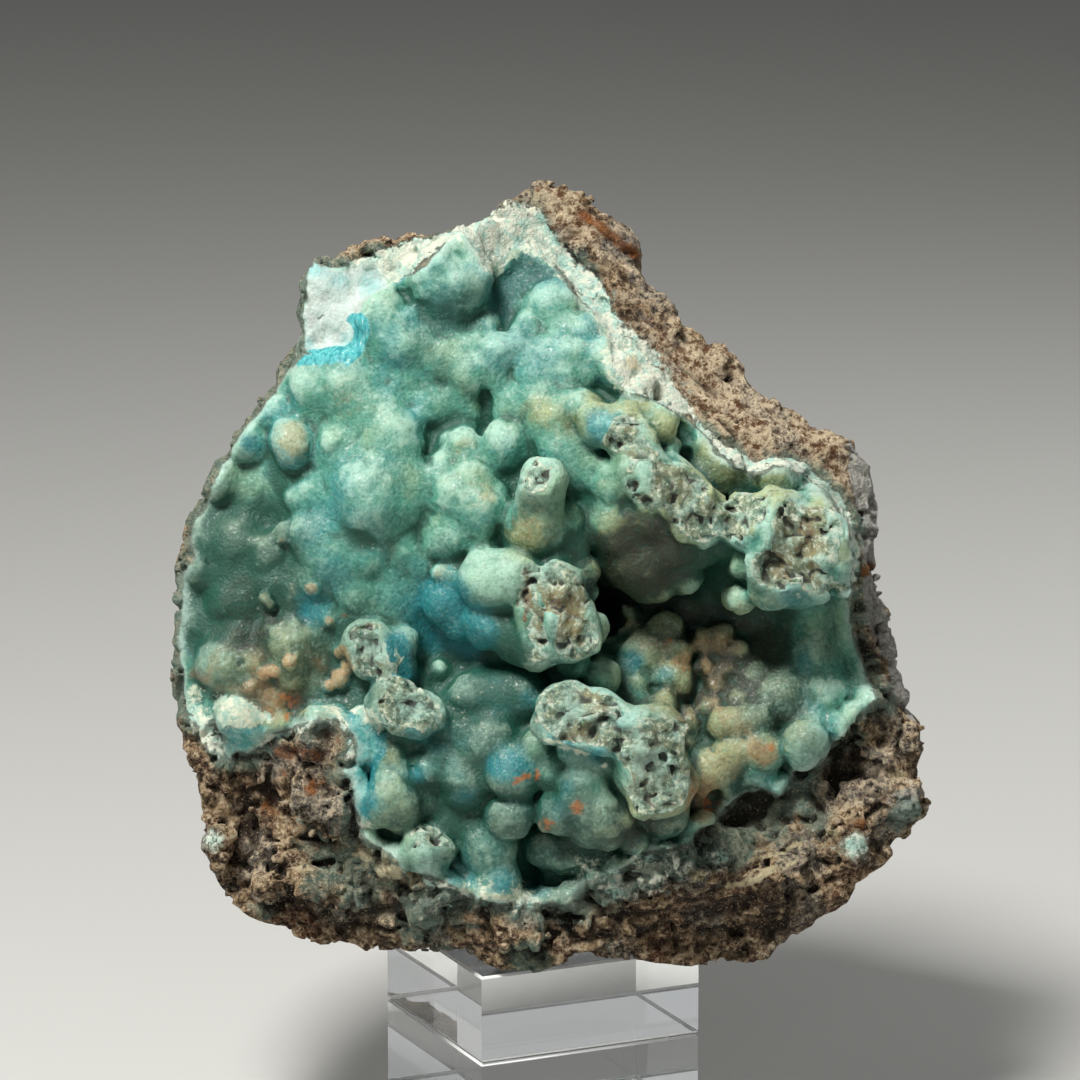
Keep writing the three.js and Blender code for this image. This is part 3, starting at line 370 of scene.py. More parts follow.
def breakage(x, y, z):  # splinters, chips and pits of a broken face
    splinters = (1.3 * (0.25 - np.abs(grain(x, y, z, 3.2, 61)))
                 + 1.2 * (0.25 - np.abs(grain(x, y, z, 1.5, 62))))
    bent = x + grain(x, y, z, 2.4, 63), y + grain(x, y, z, 2.4, 64)
    reach, number = cells(*bent, z, 2.8, 5)
    pits = 1.2 * smoothStep(0.4 * number - reach, 0, 0.15) * (number > 0.8)
    reach, number = cells(*bent, z, 1.9, 7)
    return splinters + pits + 0.9 * (number - 0.5)


# the stone's solid, as a field that is negative inside

lowCorner, highCorner, step = face["low"], face["high"], face["step"]
axes = [np.arange(lowCorner[i], highCorner[i] + 1e-6, step, dtype=np.float32) for i in range(3)]
lean = face["lean"]


def window(spans, margin):  # the part of the grid round a feature
    slices = []
    for axis, (a, b) in zip(axes, spans):
        first, last = np.searchsorted(axis, [min(a, b) - margin, max(a, b) + margin])
        slices.append(slice(max(first, 0), last))
    us, vs, ws = (axis[part] for axis, part in zip(axes, slices))
    grids = [us[:, None, None], vs[None, :, None], ws[None, None, :]]
    return tuple(slices), grids


def crustDistance(x, y, z):  # across the face, negative on the crust
    wx = x + 0.9 * grain(x, y, z, 4.5, 21) + 0.4 * grain(x, y, z, 1.6, 22)
    wy = y + 0.9 * grain(x, y, z, 4.5, 23) + 0.4 * grain(x, y, z, 1.6, 24)
    return np.minimum(polygonDistance(wx, wy, crustEdge), polygonDistance(wx, wy, flatBreak))


def rockShare(x, y, z, crust):
    deep = smoothStep(reliefHeight(x, y) - z, 13, 15)  # the back and the flanks are bare rock
    return np.maximum(smoothStep(crust, -0.3, 0.7), deep)


rockValleys = [(7, 0.6, 34), (3.6, 0.75, 35), (2.1, 0.75, 36), (1.3, 0.5, 52)]  # size, depth, which noise


def roughBlock(x, y, z):  # the stone without its swellings, and the way from its edge
    edge = polygonDistance(x, y, outline).astype(np.float32)[..., None]
    raised = (1 + 1.5 * spots(x, y, smoothPlaces)) * smoothStep(-polygonDistance(x, y, crustEdge), 1, 6)
    front = (reliefHeight(x, y) + raised).astype(np.float32)[..., None]
    t = np.clip(-edge / face["backReach"], 0, 1)
    back = -(face["rimDepth"] + face["backBulge"] * np.sqrt(1 - (1 - t) ** 2))
    draw = face["sideDraw"] * np.minimum(z + 8, 0) ** 2  # the sides draw in towards the back
    block = smoothMax(edge + draw, (z - front) * 0.85, 1.6)
    return smoothMax(block, (back - z) * 0.8, 8), edge


def addDomes(field):
    for row in domes + nodules:
        if len(row) == 4:
            u, v, radius, top = row
            u2, v2, top2 = u, v, top
        else:
            u, v, u2, v2, radius, top, top2 = row
        evenHere = float(spots(np.array(u), np.array(v), smoothPlaces))
        blend = min((0.2 + 0.14 * evenHere) * radius, 1 + 0.8 * evenHere)
        spans = (u, u2), (v, v2), (min(top, top2) - 2.6 * radius, max(top, top2))
        slices, grids = window(spans, radius + blend + 1)
        field[slices] = smoothMin(field[slices], worm(*grids, u, v, u2, v2, radius, top, top2), blend)


def addBrokenLumps(field):  # and where their cuts are
    broken = np.zeros(field.shape, np.float32)
    for row in brokenLumps:
        u, v, u2, v2, radius, top, top2 = row[:7]
        spans = (u, u2), (v, v2), (min(top, top2) - 4 * radius, max(top, top2))
        slices, grids = window(spans, radius + 4)
        shape, cut = brokenLump(*grids, row)
        field[slices] = smoothMin(field[slices], smoothMax(shape, cut, 0.2), 1.0)
        onCut = smoothStep(cut, -1.6, -0.8) * (1 - smoothStep(shape, -0.5, 0.1))
        broken[slices] = np.maximum(broken[slices], onCut)
    return broken


def cutHollows(field):
    for u, v, radius, height in hollows:
        slices, grids = window(((u, u), (v, v), (height - radius, height + 3 * radius)), radius + 3)
        bent = [grid + 0.3 * radius * grain(*grids, 1.1 * radius + 1, 10 + n)
                for n, grid in enumerate(grids)]
        hole = -capsule(*bent, (u, v, height), (u * 1.02, v * 1.02, height + 2.5 * radius), radius)
        field[slices] = smoothMax(field[slices], hole, min(1.2, 0.4 * radius))


def cutGrooves(field):
    for halfWidth, height, line in grooves:
        for (u, v), (u2, v2) in zip(line, line[1:]):
            slices, grids = window(((u, u2), (v, v2), (height, height + 4 * halfWidth)), halfWidth + 3)
            bent = [grid + 0.4 * halfWidth * grain(*grids, 2.5, 14 + n) for n, grid in enumerate(grids)]
            hole = capsule(*bent, (u, v, height), (u2, v2, height), halfWidth)
            mouth = height + 3 * halfWidth
            upper = capsule(*bent, (u, v, mouth), (u2, v2, mouth), halfWidth * 1.2)
            slot = smoothMin(hole, upper, 2 * halfWidth)
            field[slices] = smoothMax(field[slices], -slot, 0.6 * halfWidth)


def crustBumps(x, y, z, crust, torn):  # small swellings, and splinters where a lump is broken
    knobbly = spots(x, y, knobblyPlaces)
    even = spots(x, y, smoothPlaces)
    lively = 0.5 + 0.9 * grain(x, y, z, 11, 38) + 0.8 * knobbly - 0.3 * even  # how bumpy it is there
    bent = [p + 0.9 * grain(x, y, z, 4.5, 65 + n) for n, p in enumerate((x, y, z))]
    reach = cells(*bent, 8, 1)[0]
    bumps = 1.9 * (reach ** 2 - 0.35) * (0.35 + 0.65 * even)
    reach = cells(*bent, 4.4, 6)[0]
    bumps = bumps + 0.85 * (reach ** 2 - 0.3) * np.clip(lively, 0.2, 1.3)
    reach, number = cells(*bent, 2.4, 2)
    smallest = np.clip(0.6 - lively + 2 * knobbly, 0.15, 1.8)
    bumps = bumps + 0.65 * (reach ** 2 - 0.3) * (0.4 + number) * smallest
    bumps += 0.5 * grain(x, y, z, 6, 31) + 0.12 * grain(x, y, z, 1.1, 32)
    bumps = bumps * (1 - torn) + torn * breakage(x, y, z)
    bumps -= 0.5 * smoothStep(crust, -2.6, -0.6)  # the crust stands up at its broken edge
    flat = smoothStep(-polygonDistance(x, y, flatBreak), -0.5, 0.5)
    return bumps * (1 - flat) + flat * 0.5 * (grain(x, y, z, 3, 39) + grain(x, y, z, 1.3, 40))


def rockWear(x, y, z, crust):  # valleys, ledges, chips and cracks of the bare rock
    slope = smoothStep(x + y, 26, 42) * smoothStep(y, 8, 16) * smoothStep(crust, 1, 3)
    along, across = 0.75 * x - 0.66 * y, 0.66 * x + 0.75 * y
    bx, by, bz = (p + 1.1 * grain(x, y, z, 3.2, 43 + n) for n, p in enumerate((x, y, z)))
    wear = 0.9 * grain(x, y, z, 9, 33) * (1 - 0.5 * slope)
    for size, depth, shift in rockValleys:
        wear = wear + depth * (1 - 0.5 * slope) * (0.45 - np.abs(grain(bx, by, bz, size, shift)) * 2)
    wear += 0.35 * grain(x, y, z, 1.1, 47) + slope * 0.9 * grain(along * 0.35, across, z, 1.6, 37)
    wear = wear * (1 - 0.55 * smoothStep(-polygonDistance(x, y, paleBand), -1, 1.5))
    ledges = smoothStep(x, 8, 22) * smoothStep(-y, 36, 44)  # bedding at the lower right
    onBed, offBed = 0.93 * x + 0.36 * y, 0.93 * y - 0.36 * x
    wear += ledges * (grain(onBed * 0.25, offBed, z * 0.6, 1.9, 48)
                      + 0.7 * grain(onBed * 0.3, offBed, z * 0.7, 1.0, 49))
    chipped = smoothStep(crust, -1, 0.5) * (1 - smoothStep(crust, 4, 7)) * smoothStep(-y, 38, 44)
    wear += 0.9 * chipped * breakage(x, y, z)
    cracks = np.abs(grain(bx, by * 1.4, bz, 5.5, 50))
    crackedParts = smoothStep(grain(x, y, z, 8, 51), 0, 0.4)
    wear += 0.9 * (1 - smoothStep(cracks, 0.0, 0.12)) * crackedParts * (1 - 0.4 * slope)
    reach, number = cells(bx, by, bz, 1.9, 4)
    wear += 0.7 * (reach ** 2 - 0.3) * (0.3 + number) + 0.4 * smoothStep(crust, 0, 1.5)
    return wear


def makeField():
    x, y = np.meshgrid(axes[0], axes[1], indexing="ij")
    field, edge = roughBlock(x, y, axes[2][None, None, :])
    addDomes(field)
    broken = addBrokenLumps(field)
    cutHollows(field)
    cutGrooves(field)
    field = smoothMax(field, edge, 0.4)
    tell("lumps and hollows")

    near = np.nonzero(np.abs(field) < face["skin"])
    x, y, z = (axis[index] for axis, index in zip(axes, near))
    crust = crustDistance(x, y, z)
    rock = rockShare(x, y, z, crust)
    bumps = crustBumps(x, y, z, crust, broken[near])
    wear = rockWear(x, y, z, crust)
    field[near] += np.clip((1 - rock) * bumps + rock * wear, -face["deepestPit"], face["highestBump"])
    floor = (face["restHeight"] - face["origin"][2] - axes[1][None, :, None] * math.cos(lean)
             - axes[2][None, None, :] * math.sin(lean))
    field = np.maximum(np.maximum(field, floor.astype(np.float32)), edge - 0.7)
    field[[0, -1]] = field[:, [0, -1]] = field[:, :, [0, -1]] = 3  # the grid's sides are outside
    tell("surface detail")
    return field


# one point in each grid cell that the surface crosses, and one square across each crossed edge
def polygonise(field):
    inside = field < 0
    count = np.zeros([n - 1 for n in field.shape], np.uint8)
    corners = [(i, j, k) for i in (0, 1) for j in (0, 1) for k in (0, 1)]
    nx, ny, nz = count.shape
    for i, j, k in corners:
        count += inside[i:nx + i, j:ny + j, k:nz + k]
    active = np.nonzero((count > 0) & (count < 8))
    index = np.full(count.shape, -1, np.int64)
    index[active] = np.arange(len(active[0]))
    values = {c: field[active[0] + c[0], active[1] + c[1], active[2] + c[2]] for c in corners}
    total = np.zeros((len(active[0]), 3))
    crossings = np.zeros(len(active[0]))
    for a in corners:
        for axis in range(3):
            if a[axis]:
                continue
            b = tuple(1 if n == axis else a[n] for n in range(3))
            va, vb = values[a], values[b]
            crossed = (va < 0) != (vb < 0)
            t = np.where(crossed, va / np.where(crossed, va - vb, 1), 0)
            for n in range(3):
                total[:, n] += crossed * (a[n] + (t if n == axis else 0))
            crossings += crossed
    points = (total / crossings[:, None] + np.array(active).T) * step + np.array(lowCorner)
    squares = []
    for axis in range(3):
        first = [slice(None)] * 3
        second = [slice(None)] * 3
        first[axis], second[axis] = slice(None, -1), slice(1, None)
        a, b = inside[tuple(first)], inside[tuple(second)]
        i, j, k = np.nonzero(a != b)
        out = a[i, j, k]
        at = np.array([i, j, k])
        one, two = [n for n in range(3) if n != axis]
        around = []
        for s, t in ((0, 0), (1, 0), (1, 1), (0, 1)):
            cell = at.copy()
            cell[one] -= s
            cell[two] -= t
            around.append(index[cell[0], cell[1], cell[2]])
        square = np.stack(around, 1)
        flip = out if axis != 1 else ~out
        square[~flip] = square[~flip][:, ::-1]
        squares.append(square)
    return points, np.concatenate(squares)


def largestPart(points, squares):  # loose crumbs are left out
    label = np.arange(len(points))
    pairs = np.concatenate([squares[:, [0, 1]], squares[:, [1, 2]], squares[:, [2, 3]]])
    while True:
        lower = np.minimum(label[pairs[:, 0]], label[pairs[:, 1]])
        fresh = label.copy()
        np.minimum.at(fresh, pairs[:, 0], lower)
        np.minimum.at(fresh, pairs[:, 1], lower)
        fresh = fresh[fresh]
        fresh = fresh[fresh]
        if (fresh == label).all():
            break
        label = fresh
    names, sizes = np.unique(label, return_counts=True)
    keep = label == names[sizes.argmax()]
    order = np.cumsum(keep) - 1
    return points[keep], order[squares[keep[squares[:, 0]]]]


def toFrame(points):  # from the face's millimetres to the frame's metres
    u, v, w = points.T
    x0, y0, z0 = face["origin"]
    sine, cosine = math.sin(lean), math.cos(lean)
    return np.stack([x0 + u, y0 + v * sine - w * cosine, z0 + v * cosine + w * sine], 1) / 1000


def toFace(points):
    x, y, z = (points * 1000 - np.array(face["origin"])).T
    sine, cosine = math.sin(lean), math.cos(lean)
    return x, y * sine + z * cosine, z * sine - y * cosine


def blurred(solid, radius):  # how much of the space round each point is stone
    reach = int(radius / step)
    out = solid.astype(np.float32)
    for axis in range(3):
        total = np.cumsum(out, axis=axis, dtype=np.float64)
        size = out.shape[axis]
        high = np.take(total, np.minimum(np.arange(size) + reach, size - 1), axis=axis)
        low = np.take(total, np.maximum(np.arange(size) - reach - 1, 0), axis=axis)
        out = ((high - low) / (2 * reach + 1)).astype(np.float32)
    return out


def sampled(grid, x, y, z):
    index = [np.clip(np.round((p - low) / step).astype(int), 0, n - 1)
             for p, low, n in zip((x, y, z), lowCorner, grid.shape)]
    return grid[tuple(index)]


field = makeField()
points, squares = largestPart(*polygonise(field))
tell(f"{len(squares)} squares")
mesh = bpy.data.meshes.new("specimenRaw")
mesh.vertices.add(len(points))
mesh.vertices.foreach_set("co", toFrame(points).astype(np.float32).ravel())
mesh.loops.add(squares.size)
mesh.loops.foreach_set("vertex_index", squares.astype(np.int32).ravel())
mesh.polygons.add(len(squares))
mesh.polygons.foreach_set("loop_start", np.arange(0, squares.size, 4, dtype=np.int32))
mesh.update(calc_edges=True)
raw = bpy.data.objects.new("specimenRaw", mesh)
bpy.context.scene.collection.objects.link(raw)
thin = raw.modifiers.new("thin", "DECIMATE")
thin.ratio = min(1, face["triangles"] / (2 * len(squares)))
thin.use_collapse_triangulate = True
bpy.context.view_layer.update()
mesh = bpy.data.meshes.new_from_object(raw.evaluated_get(bpy.context.evaluated_depsgraph_get()))
bpy.data.objects.remove(raw)
mesh.name = "hemimorphiteSpecimen"
mesh.validate()
mesh.shade_smooth()
specimen = bpy.data.objects.new("hemimorphiteSpecimen", mesh)
bpy.context.scene.collection.objects.link(specimen)
tell(f"{len(mesh.polygons)} triangles")

# real marks and colour patches, and places of painted shade and painted highlight; spots are u, v, radius,
# strength; bands are a half width and a line; areas are outlines
stainsAndShade = {
    "blue": {
        "spots": [(-24.5, -12, 3.2), (-23.5, -15.5, 2.6), (-17, -5, 5.4, 1.3), (-13, -8.5, 4.6, 1.3),
            (-5.6, -31, 4, 0.8), (-21, -32.6, 2.2, 0.7), (-28, -37.8, 2.6, 0.6), (2, -38, 2.6, 0.5),
            (4, -34, 3, 0.5), (-13, -36, 3, 0.5), (9, 24.5, 4, 0.8), (-38, -5, 3.4, 0.8),
            (-7, -31.5, 3, 0.9), (-24.5, 49.5, 1.6), (-7, -50.5, 2.6), (15, -14, 2.6, 0.7),
            (20, -17, 2.6, 0.6), (-5.4, 56, 1.6), (-23.6, 50.6, 1.8, 0.7), (16, 38.4, 1.6, 0.4),
            (-53, -26.5, 3.5, 0.55), (-30, -24, 1.6), (3, -26, 2.4, 0.9), (8, -29, 2.4, 0.8),
            (-9, -19, 7, 0.35), (-41.5, -11.5, 3.6, 0.35), (-18, -10, 4, 0.7), (-3, -20, 5, 0.4),
            (-21, -25, 4, 0.6), (-48.5, 21.5, 2.4, 0.7), (3, 22, 3, 0.35), (49.3, 10, 1.4, 0.8),
            (-37, -41, 2, 0.6), (-2, -52, 4, 0.5), (-13.5, -50.5, 2.4, 0.9), (23, -49, 2, 0.6),
            (25, 15, 2, 0.4)],
        "bands": [(1.9, [(-30, -23.5), (-28.6, -28), (-29.2, -34), (-30.4, -39)])]
    },
    "tan": {
        "spots": [(-33, 29, 4.5, 0.5), (-41.5, 22.5, 3.6, 1), (-9.6, 12.6, 2.8, 0.7), (-13, 21, 3, 0.6),
            (-3, 8.6, 3, 0.7), (-17, 0.5, 2.2, 0.9), (-53, -12, 3.4, 0.6), (-41, -17, 5, 0.45),
            (-46, -10, 3, 0.4), (16, 6, 4.4, 0.6), (28, -13, 5, 0.9), (28.5, -19, 3, 0.9),
            (13, -8, 3.4, 0.7), (22.5, -14, 1.8, 0.9), (20, -10.5, 1.6, 0.5), (32, -24.5, 4, 0.8),
            (29, -31.5, 4.4, 1), (33, -28.6, 3.4, 1), (36.5, -29.5, 3, 1), (19.5, -38, 4.5, 0.7),
            (26, -37, 4, 1), (13, 34, 2.6, 0.7), (35, -18.5, 3, 0.4), (12, -41, 3, 0.6),
            (11, -16, 2.4, 0.5), (-28, 12, 5, 0.25), (13, -47, 2, 0.7), (3, 3, 3, 0.5),
            (6.5, 0.5, 2, 0.4), (-8, -28, 3.4, 0.35), (-26, -35, 2.4, 0.6), (-5, -43.5, 2, 0.7),
            (-26, -19.2, 2, 0.7), (-10, -46, 3, 0.3), (-42, -14, 1.6), (-46, -16, 1.7),
            (-33.5, -13, 1.7), (-32.4, -15, 1.7), (-34, -17, 2), (-48.6, -18.6, 1.7),
            (-46.6, -3.6, 1.2), (-38.4, -2.2, 1.3), (50, -22, 3, 0.4), (-12, 36, 3, 0.3),
            (1, 35, 4, 0.3)],
        "bands": [(0.6, [(-50, 0.8), (-47.5, 1.2), (-45, 0), (-43.5, -2.5), (-43, -3.8)]),
            (0.5, [(-41.4, 0.6), (-41.4, -3)]),
            (0.9, [(-56.2, -17), (-55.5, -14.4), (-54, -12.4), (-51, -10.8)]),
            (0.7, [(-55, -18.9), (-51, -19)])]
    },
    "warm": {
        "spots": [(28, -17, 14, 1.3), (14, -40, 9, 0.8), (-45, -16, 10, 1.3), (16, 3, 10, 1.2),
            (8, 27, 10, 0.4), (-2, 9, 7, 0.6), (-25, -38, 8, 0.55), (20, -8, 9, 0.9), (38, -22, 9, 0.9),
            (26, -36, 7, 0.9), (4, -44, 7, 0.5), (-50, -3, 6, 0.4), (30, 14, 7, 0.5), (-12, 14, 6, 0.3),
            (-33, 30, 5, 0.4), (8, -10, 5, 0.5), (-10, -30, 6, 0.35)]
    },
    "olive": {
        "spots": [(-1, 27, 4, 0.8), (4, 25, 4, 0.8), (9, 28, 4, 0.9), (15, 28, 4, 1), (20, 24, 4, 1),
            (28.5, 17, 6.4, 1.3), (34, 15, 5, 1), (12, 5, 8, 0.7), (20, 8, 6, 0.7), (38, 15, 4.4, 0.9),
            (45, 12, 4, 0.8), (-3, 5.6, 5, 1), (9, 8, 4, 0.4), (16, 32, 4, 0.5), (49, 4, 3, 0.7),
            (-8, 21, 4, 0.4), (28.6, -31, 5, 1), (36, -29, 4, 0.8), (-26, -42.5, 2.4, 0.7),
            (40, -21.5, 4, 0.4), (10.4, -39.4, 5.4, 1), (19.6, -38.6, 4.4, 0.9), (-25.6, -29, 4, 0.8),
            (-12, -31, 3, 0.4), (-15, -26, 3, 0.4), (43.3, 22.7, 2, 1), (49, 17, 2, 0.9),
            (32.5, 8, 2, 0.8), (-17, 30, 5, 0.2)]
    },
    # pale: partly the crust's own frosted and white patches and rims, partly painted highlight that
    # brightens parts the light leaves dim
    "pale": {
        "spots": [(-32, 32, 5, 0.7), (-28, 16, 6, 0.6), (-1, 40, 7, 0.6), (3, 34, 6, 0.7),
            (-8, 36, 6, 0.6), (-20, 38, 6, 0.5), (-22, 24, 6, 0.4), (-5, 13, 2.4, 0.8),
            (-8, 22.4, 3, 0.7), (-15, 7, 3, 0.6), (-33, 5, 5, 0.5), (-12, 1, 3, 0.6), (-9, -26, 5, 0.8),
            (-13, -30.6, 3.6, 0.8), (-19, -30, 2.6, 0.5), (6, -31.2, 3.6, 1.1), (-26, -35.4, 3, 0.7),
            (9, -38, 4.4, 1.1), (-9, -45, 3.4, 0.5), (-4, 58.5, 3, 1), (-17.4, 50.4, 2.4, 0.3),
            (-50, -22, 3, 0.6), (-8, 0.5, 6, 1.1), (17, -27, 6, 0.5), (4, 20, 6, 0.6), (-6, 38, 9, 0.6),
            (4, 30, 6, 0.5), (-35, -11, 2, 0.4), (34, 1, 3.4, 0.7), (40, -8.5, 3, 0.7),
            (52.5, -21, 2, 0.5), (-34, 5, 4, 0.4), (-19, -51, 4, 0.8), (-24, -46, 3, 0.8),
            (20, -50, 3, 0.8), (4, -53, 4, 0.6), (-27, 38, 5, 0.4), (-13.5, 27.5, 3, 0.3)],
        "bands": [(1.7, [(0, 56), (5, 50), (8, 45), (11, 40), (15, 38), (18, 33)]),
            (0.8, [(-49, 26), (-55, 14), (-57.5, 8), (-57, 3), (-60, 0), (-60.8, -8), (-60, -15),
                (-60, -22)]),
            (1.4, [(-17, 55.5), (-26, 52), (-30, 50)])]
    },
    # deep: painted shade on undersides, in hollows and where lumps above shade the surface; it feeds the
    # shade in hollows of the crust colour
    "deep": {
        "spots": [(-52, -3, 10, 1.5), (-54, 5, 8, 1.1), (-52, 9, 6, 0.8), (-56, -8, 6, 1),
            (-57, -12, 4, 0.6), (16, -2, 9, 1), (-52, 0, 5, 0.6), (30, -8, 8, 0.8), (-47, -8, 5, 0.4),
            (14, 8, 7, 0.6), (-12, -35, 9, 0.7), (0, -37, 7, 0.7), (-22, -32, 6, 0.7),
            (-5.5, -41, 4, 0.8), (11, -42, 5, 0.8), (9, -44, 6, 0.8), (20, -42, 5, 0.6),
            (-2, -17, 9, 0.5), (-15, 22.5, 4, 0.5), (-40, -3, 5, 0.3), (-5.5, 26, 4, 0.3),
            (-15, 24.6, 4, 0.4), (-43, 15.5, 3.4, 0.7), (-47, 12, 5, 0.6), (-31, 6.5, 4, 0.6),
            (-24, 5, 3, 0.5), (-54, -3, 5, 0.5), (-16, 44, 5, 0.9), (-16, 47, 7, 0.3),
            (-1, 50.6, 4, 0.6), (15, 2, 9, 1.4), (23, 2, 6, 1.3), (-9, -19, 8, 1.1),
            (-7, -12.5, 6, 1.4), (-12, -13, 4, 1.1), (-20, -19, 5, 0.8), (6, 4, 4, 1.2),
            (-16, -15, 4, 0.7), (46, -11, 6, 0.35), (43, -29, 4, 0.45), (35.6, -35, 4, 0.6),
            (25, -7, 7, 0.9), (30, -15, 10, 0.75), (24, -20, 6, 0.35), (5, -46, 6, 0.8),
            (-5.5, -39, 4, 0.5), (7, -4, 4, 1), (-18.5, 19, 3, 0.4), (8, -41, 4, 0.2),
            (38, -12, 5, 0.7), (22, 6, 4, 0.6)]
    },
    "rust": {
        "spots": [(6, 60, 3, 0.7), (12, 56, 3, 0.7), (17.5, 45, 4, 0.5), (12, 47, 3, 0.4),
            (-1, 63.3, 1.2, 0.9), (-30.5, 52, 2, 0.7), (-25, 54, 2, 0.6), (39, 19, 2.4, 0.7),
            (46, 15.5, 1.6, 0.8), (-35.5, -25, 1.4, 0.8), (-34, -27.5, 1.2, 0.8), (-38, -35, 1.8, 1),
            (-36, -33, 1.4, 0.8), (-45.5, -39, 2.4, 0.7), (-51, -49, 2.4, 0.6), (0, -40.5, 1.2, 0.9),
            (5.5, -38, 1.3, 1), (37, -28.5, 1.6, 0.7), (52, -41, 3, 0.8), (53, 0.8, 2, 1),
            (12, -52, 4, 0.4), (-42, -20.4, 2.6, 1), (1.5, -5, 1, 0.8), (6, -11, 1, 0.8),
            (14, 19.5, 1.2, 0.6), (24.5, -16, 1, 0.5), (-48, 27.5, 2.4, 0.6), (-62, -13, 3, 0.8),
            (-62, -20, 3, 0.8), (-62, -26, 3, 0.7), (24, -35, 2.6, 0.7), (27, -38, 2.4, 0.7),
            (31, -14, 2, 0.4), (-50, -35, 2, 0.6), (-43, -33, 2, 0.7), (-40, -46, 2.4, 0.6),
            (-41, -30, 2.4, 0.6)],
        "bands": [(1.1, [(6, 60), (10.5, 57), (14.6, 53)]),
            (0.8, [(-5, -33.3), (-3.5, -32.4), (-1.5, -32)]), (0.6, [(-3, 1), (-2.6, -3), (-3, -8)]),
            (1.2, [(-44, -29), (-40, -29.4), (-37, -29)])]
    },
    "grey": {
        "areas": [
            [(50, 23), (54, 19), (56, 14), (56, 0), (60, -18), (62, -25), (58.5, -22), (55, -10),
                (52.5, -2), (52, 10), (50, 18)]],
        "spots": [(57, 4, 5, 0.9), (56, 14, 5, 0.8), (58, -10, 5, 0.9), (60, -38, 5, 0.7),
            (52, -46, 5, 0.5), (50, 20, 4, 0.5), (59, -18, 4, 0.8), (36, -50, 4, 0.4), (16, 42, 4, 0.5)]
    },
    "green": {
        "spots": [(-30, -50, 8, 0.45), (-38, -46, 6, 0.35), (-46, -54, 5, 0.3), (8, -52, 7, 0.4),
            (-20, -55, 7, 0.55), (30, -43, 6, 0.6), (38, -42, 5, 0.5), (22, -46.5, 5, 0.5),
            (44, -39, 4, 0.4), (60, -40, 4, 0.5), (-36, -50, 6, 0.4), (8, 52, 4, 0.3),
            (-3, -63, 4, 0.7), (-42, -50, 5, 0.2)]
    },
    # dark: painted shade in the rock's hollows and slots; on broken faces these places also bring brown
    "dark": {
        "spots": [(50, -31, 5, 0.7), (35, -39, 5, 0.7), (-47, -37, 4, 0.6), (-49, -42.5, 4, 0.6),
            (-42, -54.5, 5, 0.6), (-36, -42, 4, 0.5), (5, -60, 5, 0.6), (13, -57, 5, 0.5),
            (28, -55, 6, 0.5), (38, -56, 7, 0.5), (11, 45.4, 2.6, 0.8), (13.6, 43, 2.4, 0.9),
            (14.5, 49, 2.4, 0.5), (8.5, 49.8, 2.2, 0.5), (23.4, 31.4, 1.4, 0.8), (41, 21, 1.4, 0.5),
            (3, 57.3, 2, 0.6), (-30, -58, 8, 0.4), (53, -12.5, 2, 0.8)]
    },
    "chalk": {
        "areas": [paleBand,
            [(-55, -19.6), (-51, -20.2), (-47.4, -22), (-44.6, -23.8), (-50, -25), (-53.5, -24.8)]],
        "spots": [(-6, 59, 4, 0.9), (-2, 57, 4, 0.9), (-12, 57, 3, 0.8), (5, 51, 3, 0.7),
            (9, 45, 3, 0.7), (13, 37, 4, 0.9), (17, 33, 4, 0.7), (-9, 51.5, 2, 0.9),
            (-35, -22.5, 2, 0.9), (-30, -40.5, 2, 0.8), (-57, -24, 3, 0.8), (8, -48.5, 3, 0.6),
            (-4, -54, 4, 0.6), (45, -42, 3, 0.4), (13, 34, 3, 0.8), (22, 29, 3, 0.6),
            (-18, -54, 5, 0.5), (3, -55, 4, 0.5), (13, -50, 4, 0.5), (11, -50.6, 4, 0.85),
            (16.6, -49, 4, 1), (22.4, -47.6, 4, 1), (28, -46.4, 3, 0.7), (-12, -52, 3, 0.7),
            (51, -44.5, 2.4, 1), (-55, -28, 2, 1), (-58, -20, 1.6, 0.8), (-40, -40, 3, 0.4),
            (24, -49, 3, 0.5), (-55.5, -44, 2.4, 0.8)],
        "bands": [
            (1, [(-3, 57), (1, 54.5), (4, 51), (8, 45.5), (11, 41), (14.5, 37), (18, 33), (22, 29),
                (26, 24), (30, 20)]),
            (1, [(30, 20), (34, 18), (38, 18.6), (43, 17.5), (48, 13), (50.5, 8), (51, 0)]),
            (1.6, [(-17, 55.5), (-26, 52.5), (-31, 51)]), (0.8, [(-56, -23), (-56, -27), (-53.5, -30)]),
            (0.7, [(-31, -22.4), (-29, -22.5), (-27.5, -25)]),
            (0.35, [(-1, -26.6), (3, -27.8), (8, -29.6), (11.2, -31.8)]),
            (0.5, [(-20, -50), (-14, -52), (-8, -53), (0, -54)]),
            (0.5, [(-47, -28), (-45, -26.5), (-40, -25.5), (-38.5, -23.5), (-35.5, -22.2), (-32.8, -24),
                (-31.8, -27), (-31.5, -29.3), (-33, -30)])]
    },
    "cyan": {
        "bands": [
            (1.4, [(-40, 35.3), (-36, 35.9), (-33, 36.2), (-31, 37.6), (-30.3, 39.5), (-30.6, 42)])]
    },
    "aqua": {
        "spots": [(-35, 12, 14, 0.6), (-45, 20, 8, 0.6), (-20, -4, 10, 0.8), (-14, -22, 12, 0.6),
            (-5, -48, 10, 0.5), (40, -18, 8, 0.5), (-52, -14, 6, 0.5), (-30, -30, 7, 0.8),
            (-52, -26, 6, 0.9), (-38, -6, 7, 0.6), (0, 48, 7, 0.6), (-25, 45, 7, 0.4),
            (20, -14, 5, 0.5), (5, -28, 5, 0.7), (32, 6, 5, 0.4)]
    },
    "clay": {
        "spots": [(28, -13.5, 6, 1), (28.5, -19, 4, 0.9), (19, -12, 5, 0.6), (34, -19, 5, 0.5),
